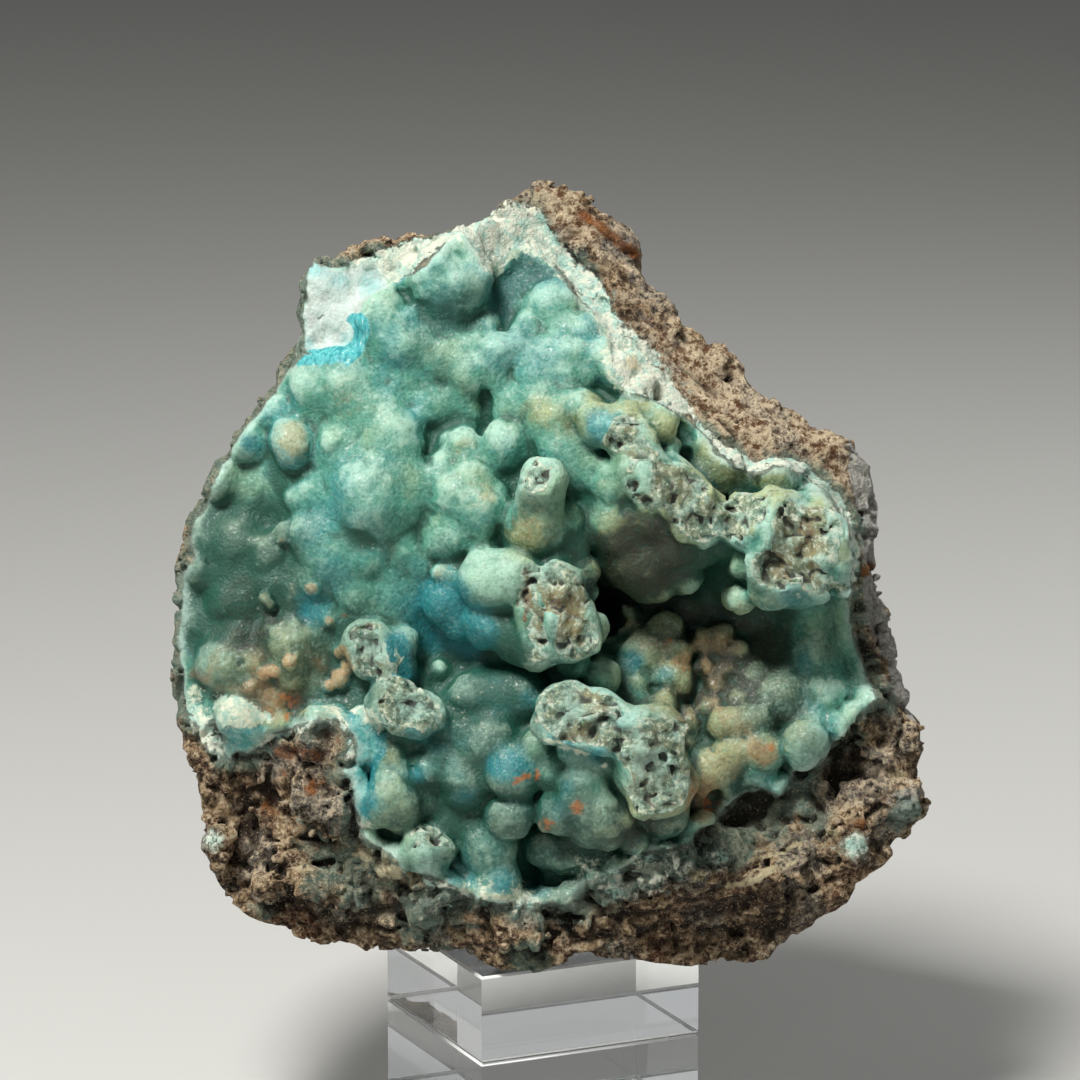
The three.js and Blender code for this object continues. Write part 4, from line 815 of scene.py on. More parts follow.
            (20, -20, 4, 0.5), (24, -24, 5, 0.6), (-46.5, -19.5, 5, 0.9), (-50, -9.6, 4, 0.5),
            (-57, -17, 3, 0.7), (-37, -15, 4, 0.6), (13, -8, 3, 0.6), (22.5, -14, 2.5, 0.8),
            (30, -24.5, 3, 0.6), (36, -29, 3, 0.8), (26, -37, 4, 1), (24, -33, 3, 0.6),
            (-47.5, -12.5, 3, 0.5), (-36, -16, 2, 0.5), (31, -14, 3, 0.6), (24.5, -28, 3, 0.6),
            (20, -9, 2, 0.6), (33, -26, 3, 0.5), (-2, 5, 3, 0.4), (16, 6, 3, 0.5), (12, -42, 4, 0.4),
            (-42, -21, 3, 0.6), (-26, -42, 2, 0.6)]
    },
    "orange": {
        "spots": [(-4.5, -33.2, 1.1), (-3, -32.6, 1), (-1.6, -32, 0.8), (0, -40.5, 1.1),
            (0, -41.8, 0.9), (5.5, -38, 1.3), (-38, -35, 1.5), (-36.6, -34, 1.1), (-45.5, -39, 1.8),
            (37, -28.5, 1.2), (53, 0.8, 1.9), (26.5, -38, 1.3), (20, -10.5, 0.8), (23, -15.5, 0.9),
            (-43, -19.8, 1.1), (-42, -23, 0.9), (52, -41, 1.4), (14.4, 53.6, 1.6), (7, 59.2, 1.2),
            (9, 57.6, 1.1), (11.5, 55.6, 1.2), (-1.3, 63.2, 1), (-35.2, -25, 1), (41, 18.4, 1)]
    },
    # painted shade that darkens the lower middle and the far left, lighter on the tops there
    "dusky": {
        "spots": [(-25, -17, 9, 0.8), (-8, -34, 17, 0.62), (-22, -27, 13, 0.4), (-8, -20.5, 8, 1.3),
            (-17, -36, 6, 0.9), (-11, -36, 5, 0.8), (-5.5, -40, 5, 0.9), (5, -46, 9, 1.6),
            (-16, -41, 6, 1), (-22, -28, 6, 0.6), (-20, -24, 5, 0.5), (1, -36, 4, 0.6),
            (-9, -46, 6, 0.5), (19, -40, 6, 0.6), (-25, -39, 4, 0.6), (3, -41, 6, 0.7),
            (-48, -5, 9, 0.7), (-30, -8, 8, 0.5), (16, -44, 4, 0.5), (43, -15, 8, 0.4),
            (-15, 45, 6, 0.5), (-20, 41, 6, 0.3), (16, 2, 9, 0.3), (-4, -18, 9, 0.9), (-53, 0, 12, 1.7),
            (33, -36, 4, 0.7), (43.4, -28.4, 4, 0.7), (38, -19, 8, 0.8), (21, -10, 5, 0.5),
            (-52, -20, 7, 0.5), (3, -34.5, 4, 0.5), (-36, -13, 6, 0.4), (0, 12, 6, 0.3),
            (-1, 8, 5, 0.3), (22, 8, 7, 0.5)]
    },
    "earthy": {
        "spots": [(2.4, -5, 5, 0.9), (42, 6, 5, 0.7), (39, 1, 4, 0.6), (16, -31, 3, 0.7),
            (21, 14, 5, 0.4), (7, -24, 4, 0.5), (-36, -27, 4, 0.8), (-36, -35, 4, 0.8)]
    },
    "minty": {
        "spots": [(16.6, -30, 5, 0.9), (4, -22, 3.4, 0.9), (-1.4, 2, 4, 0.7), (40, 6, 3, 0.5),
            (-27, -12, 4, 0.9), (-22, -21, 4, 0.8), (46, 0, 3, 0.8)]
    },
    "cyanTint": {
        "spots": [(-38, 51, 3, 0.8), (-34, 49, 3, 0.7), (-28.5, 48, 3, 0.7), (-39, 38, 2, 0.7),
            (-32, 38.5, 3, 0.7)]
    },
    # the niche under the peak and two slots: painted shade, deep teal in place of the shadow of a deeper
    # recess
    "niche": {
        "areas": [
            [(-3.5, 55), (-5.5, 52.5), (-8, 49.5), (-10, 46), (-9, 42.6), (-6.4, 42), (-4.6, 45.5),
                (-1.8, 47.8), (1.5, 48.4), (4, 46.8), (5, 47.2), (2, 51), (-1.5, 52.8)],
            [(5.6, 45.2), (9.8, 39.8), (8.3, 40.2), (5, 43.4)],
            [(8, 32.4), (9.4, 33), (13.4, 30), (16, 28.6), (14, 28.8)]],
        "spots": [(-16, 44, 4, 0.5), (-5, 39, 2.6, 0.5), (-17, 33, 3, 0.4)]
    },
    "cream": {
        "spots": [(47.4, -42.4, 1.5), (25, -49.4, 1.2), (-1.5, 62, 2.4, 0.7), (4, 61.5, 2.4, 0.6),
            (-34, -44, 2, 0.6), (-26, -48.4, 3, 0.8), (-30, -46.4, 2.4, 0.7), (-21.6, -50.6, 2.4, 0.7),
            (-40, -48, 2.4, 0.6), (-24, -50, 2, 0.6), (-9, -57, 2, 0.5), (14.4, 35, 1.8, 0.8),
            (58, -33, 1.6, 0.7), (50, -37, 2, 0.5)],
        "bands": [(0.6, [(30, -51.4), (35, -50), (38, -48.4), (42, -46.8)]),
            (0.4, [(33, -47.6), (38, -45.8), (43, -43.6)])]
    },
    "turquoise": {
        "areas": [[(-52.5, -25.4), (-45, -24), (-47, -27.6), (-50, -29), (-53, -29.4)],
            [(-31.6, -22.4), (-28.4, -23.4), (-27.8, -27), (-28.2, -31), (-29.6, -36), (-31, -38),
                (-31, -31), (-31, -28), (-32.2, -24.6)]],
        "spots": [(-30, 22, 2, 0.4), (-14, -50.4, 2.4, 0.8), (-8, -50, 3, 0.6), (4.5, -31, 2.4, 0.5),
            (0.5, -26.6, 2, 0.6), (6.5, -28.8, 2, 0.7), (10, 25.4, 2.6, 0.7), (52, -22, 2, 0.5),
            (48.6, 10, 1.6, 0.6), (-33, 36.6, 3, 0.6), (-5.4, 56, 1.8, 0.8), (-23.6, 50.6, 2, 0.8)]
    },
    "sandy": {
        "areas": [
            [(22, 41), (30, 37), (38, 29), (48, 24), (54, 17), (50, 12), (42, 17), (34, 17), (24, 25),
                (14, 31), (12, 37), (16, 39)],
            [(-2, 65), (5, 64), (9, 58), (6, 54), (2, 56)]]
    },
    "flatFace": {"areas": [flatBreak]}
}


def bands(x, y, rows):  # lines of a given half width
    total = np.zeros(x.shape)
    for halfWidth, line in rows:
        faded = smoothStep(lineDistance(x, y, line), halfWidth * 0.5, halfWidth * 1.3)
        total = np.maximum(total, 1 - faded)
    return total


def addValues(name, values):
    layer = mesh.attributes.new(name, "FLOAT", "POINT")
    layer.data.foreach_set("value", values.astype(np.float32))


where = np.zeros(len(mesh.vertices) * 3, np.float32)
mesh.vertices.foreach_get("co", where)
x, y, z = toFace(where.reshape(-1, 3).astype(float))
crust = crustDistance(x, y, z)
rock = rockShare(x, y, z, crust)
frontness = 1 - smoothStep(reliefHeight(x, y) - z, 9, 13)
broken, cutDepth = np.zeros(x.shape), np.full(x.shape, -1.0)
for row in brokenLumps:
    shape, cut = brokenLump(x, y, z, row)
    share = smoothStep(cut, -2.0, -1.1) * smoothStep(-shape, -0.1, 0.5)
    cutDepth = np.where(share > 0.3, np.maximum(cutDepth, -shape), cutDepth)
    broken = np.maximum(broken, share)
normals = np.zeros(len(mesh.vertices) * 3, np.float32)
mesh.vertex_normals.foreach_get("vector", normals)
wobbleX = x + 0.8 * grain(x, y, z, 3, 41)
wobbleY = y + 0.8 * grain(x, y, z, 3, 42)
addValues("crust", np.where(frontness > 0.5, crust, 9))
addValues("rock", rock)
addValues("cutDepth", cutDepth)
addValues("broken", broken)
# how much of the space round each point is stone, at three reaches; the colours use these for painted
# shade in hollows and creases and painted light on open parts
for name, radius in face["nearness"].items():
    addValues(name, sampled(blurred(field < 0, radius), x, y, z))
addValues("nodule", spots(x, y, [(u, v, 1.15 * radius) for u, v, radius, top in nodules]) * frontness)
# which way the surface faces; the colours use under for painted shade on undersides and upward for painted
# light on up-facing parts
addValues("under", smoothStep(-normals[2::3], -0.15, 0.75))
addValues("upward", smoothStep(normals[2::3], 0.1, 0.85))
for name, parts in stainsAndShade.items():
    amount = spots(wobbleX, wobbleY, parts.get("spots", ()))
    amount = np.maximum(amount, bands(wobbleX, wobbleY, parts.get("bands", ())))
    for polygon in parts.get("areas", ()):
        amount = np.maximum(amount, 1 - smoothStep(polygonDistance(wobbleX, wobbleY, polygon), -0.6, 0.6))
    addValues(name, amount * frontness)
tell("colour places")


class Wire:  # one output of a shader node: arithmetic on it adds Math nodes

    def __init__(self, tree, socket=None):
        self.tree = tree
        self.socket = socket

    def node(self, kind, settings=None, sockets=None, output=0):
        made = self.tree.nodes.new("ShaderNode" + kind)
        for name, value in (settings or {}).items():
            if name == "stops":
                ramp = made.color_ramp
                while len(ramp.elements) < len(value):
                    ramp.elements.new(1)
                for element, (place, colour) in zip(ramp.elements, value):
                    element.position = place
                    element.color = colour if len(colour) == 4 else (*colour, 1)
            else:
                setattr(made, name, value)
        for key, value in (sockets or {}).items():
            if isinstance(value, Wire):
                self.tree.links.new(value.socket, made.inputs[key])
            else:
                made.inputs[key].default_value = value
        return Wire(self.tree, made.outputs[output] if made.outputs else None)

    def maths(self, operation, *values):
        return self.node("Math", {"operation": operation}, dict(enumerate(values)))

    def __add__(self, other):
        return self.maths("ADD", self, other)

    def __sub__(self, other):
        return self.maths("SUBTRACT", self, other)

    def __rsub__(self, other):
        return self.maths("SUBTRACT", other, self)

    def __mul__(self, other):
        return self.maths("MULTIPLY", self, other)

    __radd__ = __add__
    __rmul__ = __mul__

    def step(self, low, high):  # 0 below low, 1 above high
        return self.node("MapRange", {"interpolation_type": "SMOOTHSTEP"},
                         {"Value": self, "From Min": low, "From Max": high})

    def falling(self, low, high):
        return 1 - self.step(low, high)

    def most(self, other):
        return self.maths("MAXIMUM", self, other)

    def places(self, name):  # one of the mesh's own numbers
        return self.node("Attribute", {"attribute_name": name}, output=2)

    def speckle(self, millimetres, detail=2, roughness=0.5):  # noise with lumps of that size, from 0 to 1
        return self.node("TexNoise", None, {"Vector": self, "Scale": 1000 / millimetres, "Detail": detail,
                                            "Roughness": roughness})

    def mix(self, colour, other):  # colour where this is 0, other where it is 1
        return self.node("Mix", {"data_type": "RGBA"}, {0: self, 6: colour, 7: other}, output=2)


def rgb(red, green, blue):  # from the everyday 0 to 255 scale
    return tuple((c / 255) ** 2.2 for c in (red, green, blue)) + (1,)


def newMaterial(name):
    material = bpy.data.materials.new(name)
    material.use_nodes = True
    material.node_tree.nodes.clear()
    return material, Wire(material.node_tree)


stoneLook = {
    "teal": rgb(72, 140, 120), "frosted": rgb(154, 192, 172), "deepGreen": rgb(16, 76, 60),
    "deepTeal": rgb(24, 88, 86), "blue": rgb(8, 118, 124), "tan": rgb(164, 158, 116),
    "olive": rgb(160, 164, 112), "moss": rgb(96, 104, 58), "turquoise": rgb(70, 154, 150),
    "white": rgb(208, 212, 204), "rust": rgb(148, 88, 46), "beigeRock": rgb(180, 152, 116),
    "brownRock": rgb(104, 78, 60), "darkRock": rgb(34, 24, 18), "redRock": rgb(124, 76, 50),
    "greyRock": rgb(154, 156, 148), "palestGrey": rgb(200, 200, 194), "greenRock": rgb(116, 150, 136),
    "cream": rgb(226, 212, 172), "sand": rgb(242, 220, 184), "tawny": rgb(118, 82, 54),
    "chalk": rgb(216, 218, 194), "brightChalk": rgb(230, 234, 214), "brightSea": rgb(174, 216, 202),
    "paleSea": rgb(156, 190, 174), "palestTeal": rgb(164, 188, 176), "cyan": rgb(86, 180, 180),
    "glassBlue": rgb(28, 134, 140), "icy": rgb(186, 202, 194), "dullTeal": rgb(82, 112, 94),
    "ashGreen": rgb(144, 156, 126), "ochreBrown": rgb(146, 128, 84), "clay": rgb(142, 102, 60),
    "orange": rgb(166, 104, 50), "sage": rgb(130, 160, 124), "bluish": rgb(48, 132, 134),
    "mist": rgb(134, 184, 176), "nodule": rgb(176, 148, 106), "dusk": rgb(28, 66, 58),
    "duskTop": rgb(90, 114, 94), "khaki": rgb(144, 146, 98), "umber": rgb(84, 88, 52),
    "bistre": rgb(38, 42, 22), "crustRoughness": 0.56, "rockRoughness": 0.9, "glow": 0.45,
    "glowReach": 0.0028, "grainSize": 0.55, "slopeAngle": math.radians(42),
}


class StoneGrains:  # the noises and places that the stone's looks share

    def __init__(self, start, place):
        self.start = start
        self.crumbs = place.speckle(1.1, 5, 0.75)
        self.rocky = place.speckle(2.6, 6, 0.72)
        self.fine = place.speckle(0.45, 3, 0.7)
        self.middle = place.speckle(1.6, 4)
        self.broad = place.speckle(7, 3)
        self.coarse = place.speckle(0.9, 4, 0.65)
        self.cloudy = place.speckle(3.4, 5, 0.62)
        self.grit = place.speckle(0.9, 4, 0.7)
        for name in ("closeness", "shelter", "crease", "crust", "under", "upward"):
            setattr(self, name, start.places(name))
        self.rust = self.patch("rust", 0.45, 0.95, crumbs=1.8, middle=0.6)
        self.orange = self.patch("orange", 0.4, 0.95, middle=1.2, crumbs=1.4)
        self.chalky = self.patch("chalk", 0.3, 0.75, crumbs=2.2, broad=0.8) * 0.9
        self.onFace = self.patch("broken", 0.35, 0.7, crumbs=0.8)
        self.sugar = place.speckle(0.5, 3, 0.6).step(0.5, 0.66) * self.grit.step(0.36, 0.6)

    def patch(self, name, low, high, **noises):  # the places of that name, frayed by the noises named
        amount = self.start.places(name)
        for noise, strength in noises.items():
            amount = amount + (getattr(self, noise) - 0.5) * strength
        return amount.step(low, high)


def crustColour(start, place, on, grainNumber):  # teal and frosted, with painted shade in deep green where it is sheltered, creased or faces down, and painted light where it is open and faces up
    look, middle, cloudy = stoneLook, on.middle, on.cloudy
    patchy = place.speckle(16, 4, 0.6)
    # raised: higher where the surface is open and faces up, lower where it is sheltered, with some noise;
    # the pairs mixed by it (teal and frosted, bluish and mist, umber and khaki, moss and olive, dusk and
    # duskTop, deepTeal and bluish) are shaded and lit versions of one colour: partly the crust's own
    # frosted tops, partly painted light and shade
    raised = (0.5 - on.closeness) * 3.9 + (0.5 - on.shelter) * 1.4 + (middle - 0.5) * 0.6
    raised = raised + (cloudy - 0.5) * 1.3 + (on.upward - 0.4) * 0.5
    colour = raised.step(-0.1, 0.8).mix(look["teal"], look["frosted"])
    colour = (patchy.step(0.5, 0.64) * 0.6).mix(colour, look["sage"])
    watery = raised.step(0, 0.9).mix(look["bluish"], look["mist"])
    aqua = on.patch("aqua", 0.25, 0.9, broad=1.2)
    colour = (aqua.most(patchy.falling(0.38, 0.5)) * 0.65).mix(colour, watery)
    # painted shade on the undersides
    colour = (on.under * 0.5).mix(colour, look["deepTeal"])
    warm = on.patch("warm", 0.15, 0.95, middle=0.8, broad=0.5)
    colour = (warm * 0.8).mix(colour, raised.step(-0.3, 0.6).mix(look["umber"], look["khaki"]))
    olive = on.patch("olive", 0.25, 0.9, middle=0.6)
    colour = (olive * 0.85).mix(colour, raised.step(-0.4, 0.8).mix(look["moss"], look["olive"]))
    colour = (on.patch("tan", 0.3, 0.9, middle=0.9) * 0.75).mix(colour, look["tan"])
    colour = on.patch("nodule", 0.35, 0.7, middle=0.4).mix(colour, look["nodule"])
    colour = (on.patch("clay", 0.25, 0.85, cloudy=1.4) * 0.7).mix(colour, look["clay"])
    colour = (on.patch("pale", 0.35, 0.85, middle=0.7) * 0.6).mix(colour, look["frosted"])
    # painted shade over the lower middle and the far left: dusk below, duskTop on the lit tops
    dusky = on.patch("dusky", 0.05, 0.75, broad=0.8)
    colour = (dusky * 0.82).mix(colour, raised.step(-0.1, 0.9).mix(look["dusk"], look["duskTop"]))
    # painted shade: dark green and bistre in sheltered hollows, at the deep places and on undersides
    shadeInHollows = (on.shelter - 0.55) * 3 + (on.closeness - 0.54) * 4 + (on.broad - 0.5) * 0.7
    shadeInHollows = (shadeInHollows + start.places("deep") * 1.6 + on.under * 0.5).step(0.08, 1.05)
    colour = (shadeInHollows * 0.95).mix(colour, warm.mix(look["deepGreen"], look["bistre"]))
    # painted shade in the creases between swellings
    creaseShade = ((on.crease - 0.54) * 6 + (middle - 0.5) * 0.8).step(0, 1)
    colour = (creaseShade * 0.6).mix(colour, look["deepGreen"])
    colour = (on.patch("blue", 0.2, 0.75, cloudy=0.7) * 0.92).mix(colour, look["blue"])
    # painted shade in the niche and slots, a little lighter where the surface is open
    shadedNiche = raised.step(0, 1).mix(look["deepTeal"], look["bluish"])
    colour = (start.places("niche") * 0.8).mix(colour, shadedNiche)
    glazed = (cloudy + middle).step(0.85, 1.2).mix(look["turquoise"], look["mist"])
    colour = (on.patch("turquoise", 0.3, 0.8, cloudy=1.2) * 0.85).mix(colour, glazed)
    colour = (on.rust * 0.8).mix(colour, on.grit.step(0.4, 0.6).mix(look["brownRock"], look["rust"]))
    colour = (grainNumber.step(0.5, 0.95) * 0.22 * (1 - shadeInHollows)).mix(colour, look["frosted"])
    colour = (grainNumber.falling(0.1, 0.45) * 0.22).mix(colour, look["dusk"])
    # white sugar specks, mostly on up-facing parts and fewer in the painted shade: partly the crust's own
    # sparkle, partly painted glints
    colour = (on.sugar * (on.upward * 0.3 + 0.04) * (1 - shadeInHollows)).mix(colour, look["white"])
    colour = (on.grit.falling(0.36, 0.48) * 0.22).mix(colour, look["deepGreen"])
    colour = (on.orange * 0.75).mix(colour, look["orange"])
    rim = (on.crust + (on.crumbs - 0.5) * 3 + (on.broad - 0.5) * 4).step(-1.0, 0.3)
    colour = (rim * 0.6).mix(colour, look["palestTeal"])
    frost = on.rocky.step(0.44, 0.6).mix(look["chalk"], look["paleSea"])
    frost = ((cloudy + on.crumbs).falling(0.86, 0.98) * 0.55).mix(frost, look["ashGreen"])
    return on.chalky.mix(colour, frost)


def rockColour(start, place, on):  # brown and beige, with dark grains, painted shade in its pits and hollows and on its undersides, painted light on its up-facing parts, red and grey in places
    look, crumbs, rocky = stoneLook, on.crumbs, on.rocky
    slanting = place.node("Mapping", None, {
        "Vector": place, "Rotation": (0, look["slopeAngle"], 0), "Scale": (0.4, 1, 1)})
    streaky = slanting.speckle(1.5, 4, 0.7)
    # a little lighter on up-facing parts: painted light
    colour = (rocky + on.upward * 0.12).step(0.4, 0.6).mix(look["brownRock"], look["beigeRock"])
    sandy = on.patch("sandy", 0.3, 0.7, middle=0.6)
    colour = (place.speckle(8, 4, 0.6).step(0.52, 0.64) * (0.7 - sandy * 0.3)).mix(colour, look["redRock"])
    tone = (crumbs * 0.5 + rocky * 0.5 + (streaky - 0.5) * 0.8).step(0.4, 0.58)
    colour = (sandy * 0.85).mix(colour, tone.mix(look["tawny"], look["sand"]))
    colour = (place.speckle(12, 3).step(0.5, 0.62) * 0.6).mix(colour, look["greyRock"])
    # sand specks, a few more on up-facing parts: painted light
    colour = ((crumbs + on.upward * 0.05 + sandy * 0.02).step(0.51, 0.64) * 0.9).mix(colour, look["sand"])
    # dark specks where the noise is low, a little more on undersides as painted shade
    inPits = (sandy * 0.8).mix(look["darkRock"], look["tawny"])
    colour = ((crumbs - on.under * 0.06).falling(0.37, 0.5) * 0.9).mix(colour, inPits)
    greyed = on.patch("grey", 0.35, 0.8, middle=0.8)
    colour = (greyed * 0.9).mix(colour, crumbs.step(0.42, 0.56).mix(look["greyRock"], look["palestGrey"]))
    colour = (on.rust * 0.85).mix(colour, rocky.step(0.42, 0.56).mix(look["brownRock"], look["rust"]))
    colour = (on.orange * 0.75).mix(colour, look["orange"])
    green = on.crust.falling(0.5, 6) * 0.5 + place.speckle(4, 4) - 0.3 + start.places("green")
    colour = (green.step(0.35, 0.65) * 0.65).mix(colour, look["greenRock"])
    # painted shade in the rock's pits, hollows and undersides and at the dark places, with dark specks
    # from the noise
    rockShadeAndSpecks = (on.closeness - 0.5) * 5 + (crumbs - 0.5) * 2 + start.places("dark") * 1.2 + on.under * 0.5
    colour = (rockShadeAndSpecks.step(0.2, 1.2) * 0.9).mix(colour, look["darkRock"])
    colour = (on.fine.step(0.58, 0.68) * (sandy * 0.3 + 0.5)).mix(colour, look["sand"])
    frost = rocky.step(0.46, 0.62).mix(look["brightChalk"], look["brightSea"])
    frost = ((on.cloudy + crumbs).falling(0.86, 0.98) * 0.5).mix(frost, look["greenRock"])
    colour = on.chalky.mix(colour, frost)
    colour = (on.patch("cream", 0.3, 0.8, crumbs=1.6) * 0.85).mix(colour, look["cream"])
    return ((on.crust + (on.middle - 0.5) * 2).falling(0, 1.0) * 0.6).mix(colour, look["palestTeal"])


def brokenColour(start, place, on):  # a white rim round a grey and brown porous middle
    look, crumbs, rocky = stoneLook, on.crumbs, on.rocky
    filling = rocky.step(0.4, 0.6).mix(look["dullTeal"], look["ashGreen"])
    filling = (on.cloudy.step(0.46, 0.58) * 0.65).mix(filling, look["paleSea"])
    filling = (crumbs.step(0.52, 0.6) * 0.85).mix(filling, look["chalk"])
    filling = (crumbs.falling(0.4, 0.48) * 0.6).mix(filling, look["bistre"])
    # brown earth from noise, more of it at the places of painted shade (dark) and of rust
    earthy = (place.speckle(5, 3) - 0.5) * 2 + start.places("dark") + start.places("rust") * 0.5
    earthy = earthy + start.places("earthy")
    filling = (earthy.step(0.1, 0.6) * crumbs.falling(0.45, 0.6) * 0.8).mix(filling, look["ochreBrown"])
    filling = (earthy.step(0.3, 0.8) * rocky.falling(0.4, 0.5) * 0.8).mix(filling, look["brownRock"])
    filling = (on.patch("minty", 0.35, 0.8, crumbs=1.4) * 0.7).mix(filling, look["paleSea"])
    # painted shade in the pits of the broken faces, with dark specks from the noise
    pits = ((on.crease - 0.53) * 7 + (crumbs - 0.5) * 2).step(0.1, 0.9)
    filling = (pits * 0.9).mix(filling, look["darkRock"])
    inner = start.places("cutDepth") + (on.middle - 0.5) * 2.4 + (on.broad - 0.5) * 3.4
    return inner.step(-0.2, 0.6).mix(crumbs.step(0.42, 0.64).mix(look["paleSea"], look["chalk"]), filling)


def flatFaceColour(on):  # the flat pale break at the upper left
    look = stoneLook
    colour = (on.rocky.step(0.46, 0.6) * 0.5).mix(look["icy"], look["greyRock"])
    colour = (on.crumbs.step(0.54, 0.62) * 0.6).mix(colour, look["white"])
    return (on.patch("cyanTint", 0.3, 0.8, crumbs=1) * 0.5).mix(colour, look["cyan"])


def cyanColour(place):  # the glassy upright fibres under it
    look = stoneLook
    upright = place.node("Mapping", None, {"Vector": place, "Scale": (1, 1, 0.25)}).speckle(0.8, 4, 0.65)
    colour = upright.step(0.38, 0.6).mix(look["glassBlue"], look["cyan"])
    return (upright.step(0.6, 0.68) * 0.8).mix(colour, look["white"])


def makeStoneMaterial():
    look = stoneLook
    material, start = newMaterial("hemimorphite")
    place = start.node("TexCoord", output=3)
    on = StoneGrains(start, place)
    crystals = {"Vector": place, "Scale": 1000 / look["grainSize"]}
    grains, grainNumber = (place.node("TexVoronoi", None, crystals, output) for output in (0, 1))
    colour = crustColour(start, place, on, grainNumber)
    colour = (on.onFace * 0.92).mix(colour, brokenColour(start, place, on))
    colour = on.patch("flatFace", 0.4, 0.6, middle=0.3).mix(colour, flatFaceColour(on))
    colour = on.patch("cyan", 0.25, 0.6, middle=0.4).mix(colour, cyanColour(place))
    sugarBump = start.node("Bump", None, {
        "Strength": 0.6, "Distance": 0.0004,
        "Height": on.coarse * 1.1 + on.middle * 0.7 - grains * 0.35 + on.onFace * on.crumbs * 3})
    rockBump = start.node("Bump", None, {
        "Strength": 0.9, "Distance": 0.0011,
        "Height": (on.coarse + on.rocky * 2.5 + on.crumbs * 2 + on.fine * 0.6) * (1 - on.chalky * 0.75)})
    crystal = start.node("BsdfPrincipled", {"subsurface_method": "RANDOM_WALK"}, {
        "Base Color": colour, "Roughness": on.middle * 0.2 + look["crustRoughness"] - on.sugar * 0.3,
        "Normal": sugarBump, "IOR": 1.6, "Subsurface Weight": look["glow"],
        "Subsurface Radius": (0.6, 1.0, 0.95), "Subsurface Scale": look["glowReach"],
        "Coat Weight": on.sugar * 0.25, "Coat Roughness": 0.25})
    stone = start.node("BsdfPrincipled", None, {
        "Base Color": rockColour(start, place, on), "Roughness": look["rockRoughness"], "Normal": rockBump,
        "IOR": 1.5, "Specular IOR Level": 0.3})
    share = on.patch("rock", 0.35, 0.65, middle=0.5)
    both = start.node("MixShader", None, {0: share, 1: crystal, 2: stone})
    start.node("OutputMaterial", None, {"Surface": both})
    return material


mesh.materials.append(makeStoneMaterial())
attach(specimen, "root")
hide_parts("specimen")

acrylicLook = {"tint": (0.965, 0.985, 0.98, 1), "ior": 1.49, "clean": 0.0, "hazy": 0.02, "smearSize": 14,
               "ground": (0.95, 0.96, 0.96, 1), "groundRoughness": 0.35, "edgeArea": 0.00003}


def makeAcrylic():
    material, start = newMaterial("clearAcrylic")
    place = start.node("TexCoord", output=3)
    smear = place.speckle(acrylicLook["smearSize"], 4, 0.6).step(0.5, 0.8)
    scratches = place.speckle(0.9, 6, 0.7).step(0.64, 0.7) * 0.4
    haze = (smear * 0.35 + scratches) * (acrylicLook["hazy"] - acrylicLook["clean"]) + acrylicLook["clean"]
    surface = start.node("BsdfPrincipled", None, {
        "Base Color": acrylicLook["tint"], "Roughness": haze, "IOR": acrylicLook["ior"],
        "Transmission Weight": 1})
    start.node("OutputMaterial", None, {"Surface": surface})
    return material


def makeGroundEdge():  # the chamfers are ground, not polished
    material, start = newMaterial("groundAcrylicEdge")
    place = start.node("TexCoord", output=3)
    surface = start.node("BsdfPrincipled", None, {
        "Base Color": acrylicLook["ground"], "IOR": acrylicLook["ior"], "Transmission Weight": 0.15,
        "Roughness": place.speckle(1.5, 3) * 0.2 + acrylicLook["groundRoughness"]})
    start.node("OutputMaterial", None, {"Surface": surface})
    return material


acrylic, groundEdge = makeAcrylic(), makeGroundEdge()
for name in ("stand_block_upper", "stand_block_lower"):
    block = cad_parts[name]
    block.data.materials.clear()
    block.data.materials.append(acrylic)
    block.data.materials.append(groundEdge)
    for side in block.data.polygons:
        side.material_index = int(side.area < acrylicLook["edgeArea"])
tell("materials")

studio = {
    "floorSize": 8, "underGap": 0.0003, "floor": rgb(196, 196, 192),
    "world": (0.96, 0.97, 0.98, 1), "worldStrength": 0.07, "glassWorldStrength": 0.4,
    "aim": (-0.00025, -0.0049, 0.09944), "tilt": math.radians(13), "distance": 1.0, "frameWidth": 0.18,
}


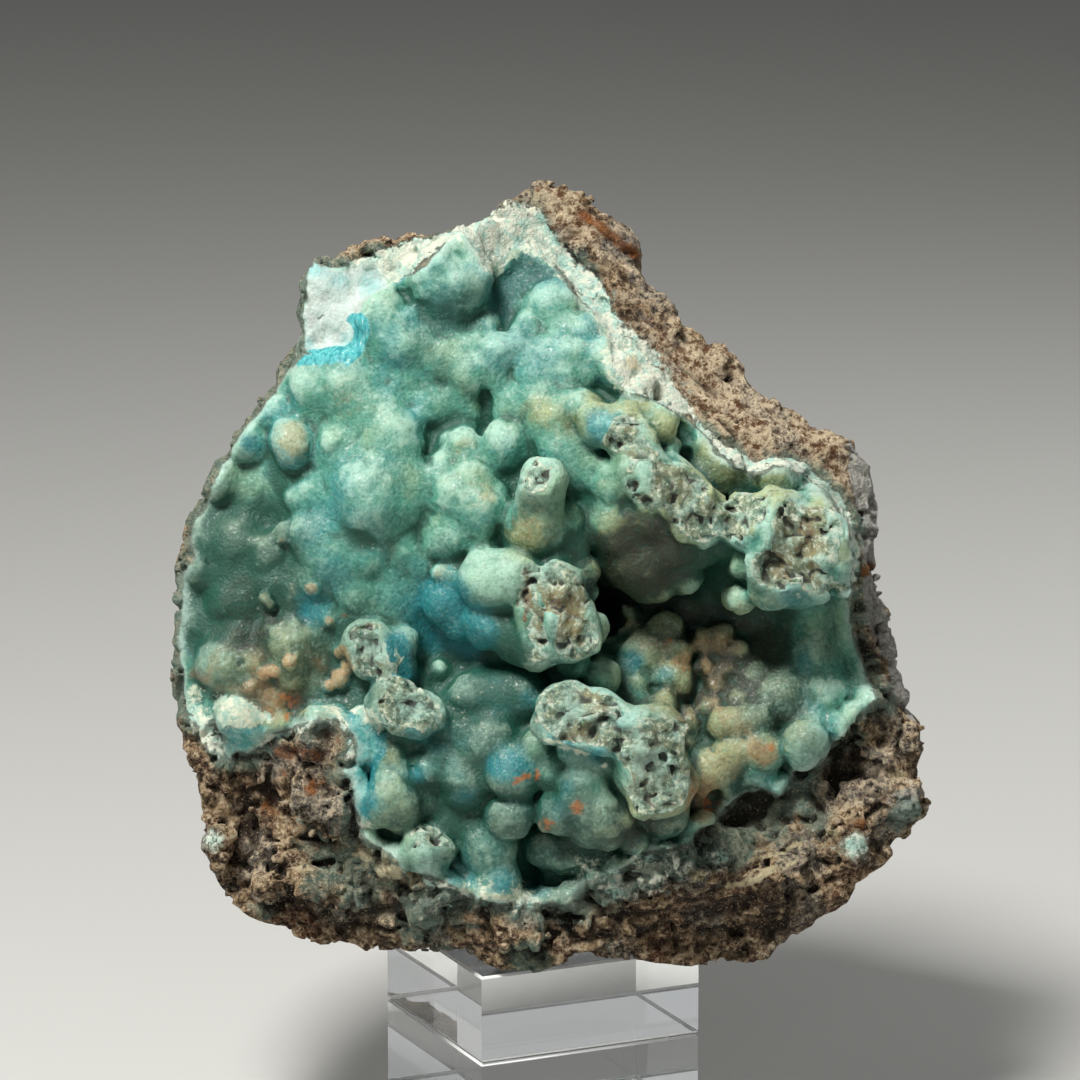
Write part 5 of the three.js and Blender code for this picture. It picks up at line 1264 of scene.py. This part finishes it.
def makeStudio():
    half, low = studio["floorSize"] / 2, -studio["underGap"]
    ground = bpy.data.meshes.new("floor")
    corners = [(-half, -half, low), (half, -half, low), (half, half, low), (-half, half, low)]
    ground.from_pydata(corners, [], [(0, 1, 2, 3)])
    material, start = newMaterial("floorPaper")
    paper = start.node("TexCoord", output=3).speckle(40, 3)
    surface = start.node("BsdfPrincipled", None, {
        "Base Color": studio["floor"], "Roughness": paper * 0.1 + 0.7})
    start.node("OutputMaterial", None, {"Surface": surface})
    ground.materials.append(material)
    floor = bpy.data.objects.new("floor", ground)
    bpy.context.scene.collection.objects.link(floor)

    world = bpy.data.worlds.new("studio")
    world.use_nodes = True
    world.node_tree.nodes["Background"].inputs["Color"].default_value = studio["world"]
    start = Wire(world.node_tree)
    through = start.node("LightPath", output="Is Transmission Ray")
    strength = through * (studio["glassWorldStrength"] - studio["worldStrength"]) + studio["worldStrength"]
    world.node_tree.links.new(strength.socket, world.node_tree.nodes["Background"].inputs["Strength"])
    bpy.context.scene.world = world
    lights = {  # place, power, size, colour
        "key": ((-0.28, -0.4, 0.85), 12.4, 0.26, (1, 0.985, 0.96)),
        "fill": ((-0.25, -1.1, 0.4), 0.8, 0.5, (0.95, 0.97, 1)),
        "rim": ((0.4, 0.35, 0.55), 1.6, 0.3, (1, 1, 1)),
    }
    for name, (place, power, size, colour) in lights.items():
        light = bpy.data.lights.new(name, "AREA")
        light.energy = power
        light.size = size
        light.color = colour
        lamp = bpy.data.objects.new(name, light)
        lamp.location = place
        lamp.rotation_euler = (Vector(studio["aim"]) - Vector(place)).to_track_quat("-Z", "Y").to_euler()
        bpy.context.scene.collection.objects.link(lamp)

    lens = bpy.data.cameras.new("camera")
    lens.sensor_fit = "HORIZONTAL"
    lens.angle = 2 * math.atan(studio["frameWidth"] / 2 / studio["distance"])
    lens.clip_start, lens.clip_end = 0.01, 50
    camera = bpy.data.objects.new("camera", lens)
    look = Vector((0, math.cos(studio["tilt"]), -math.sin(studio["tilt"])))
    camera.location = Vector(studio["aim"]) - look * studio["distance"]
    camera.rotation_euler = look.to_track_quat("-Z", "Y").to_euler()
    bpy.context.scene.collection.objects.link(camera)
    bpy.context.scene.camera = camera
    bpy.context.scene.view_settings.view_transform = "Standard"


makeStudio()
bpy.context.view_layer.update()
tell("ready")
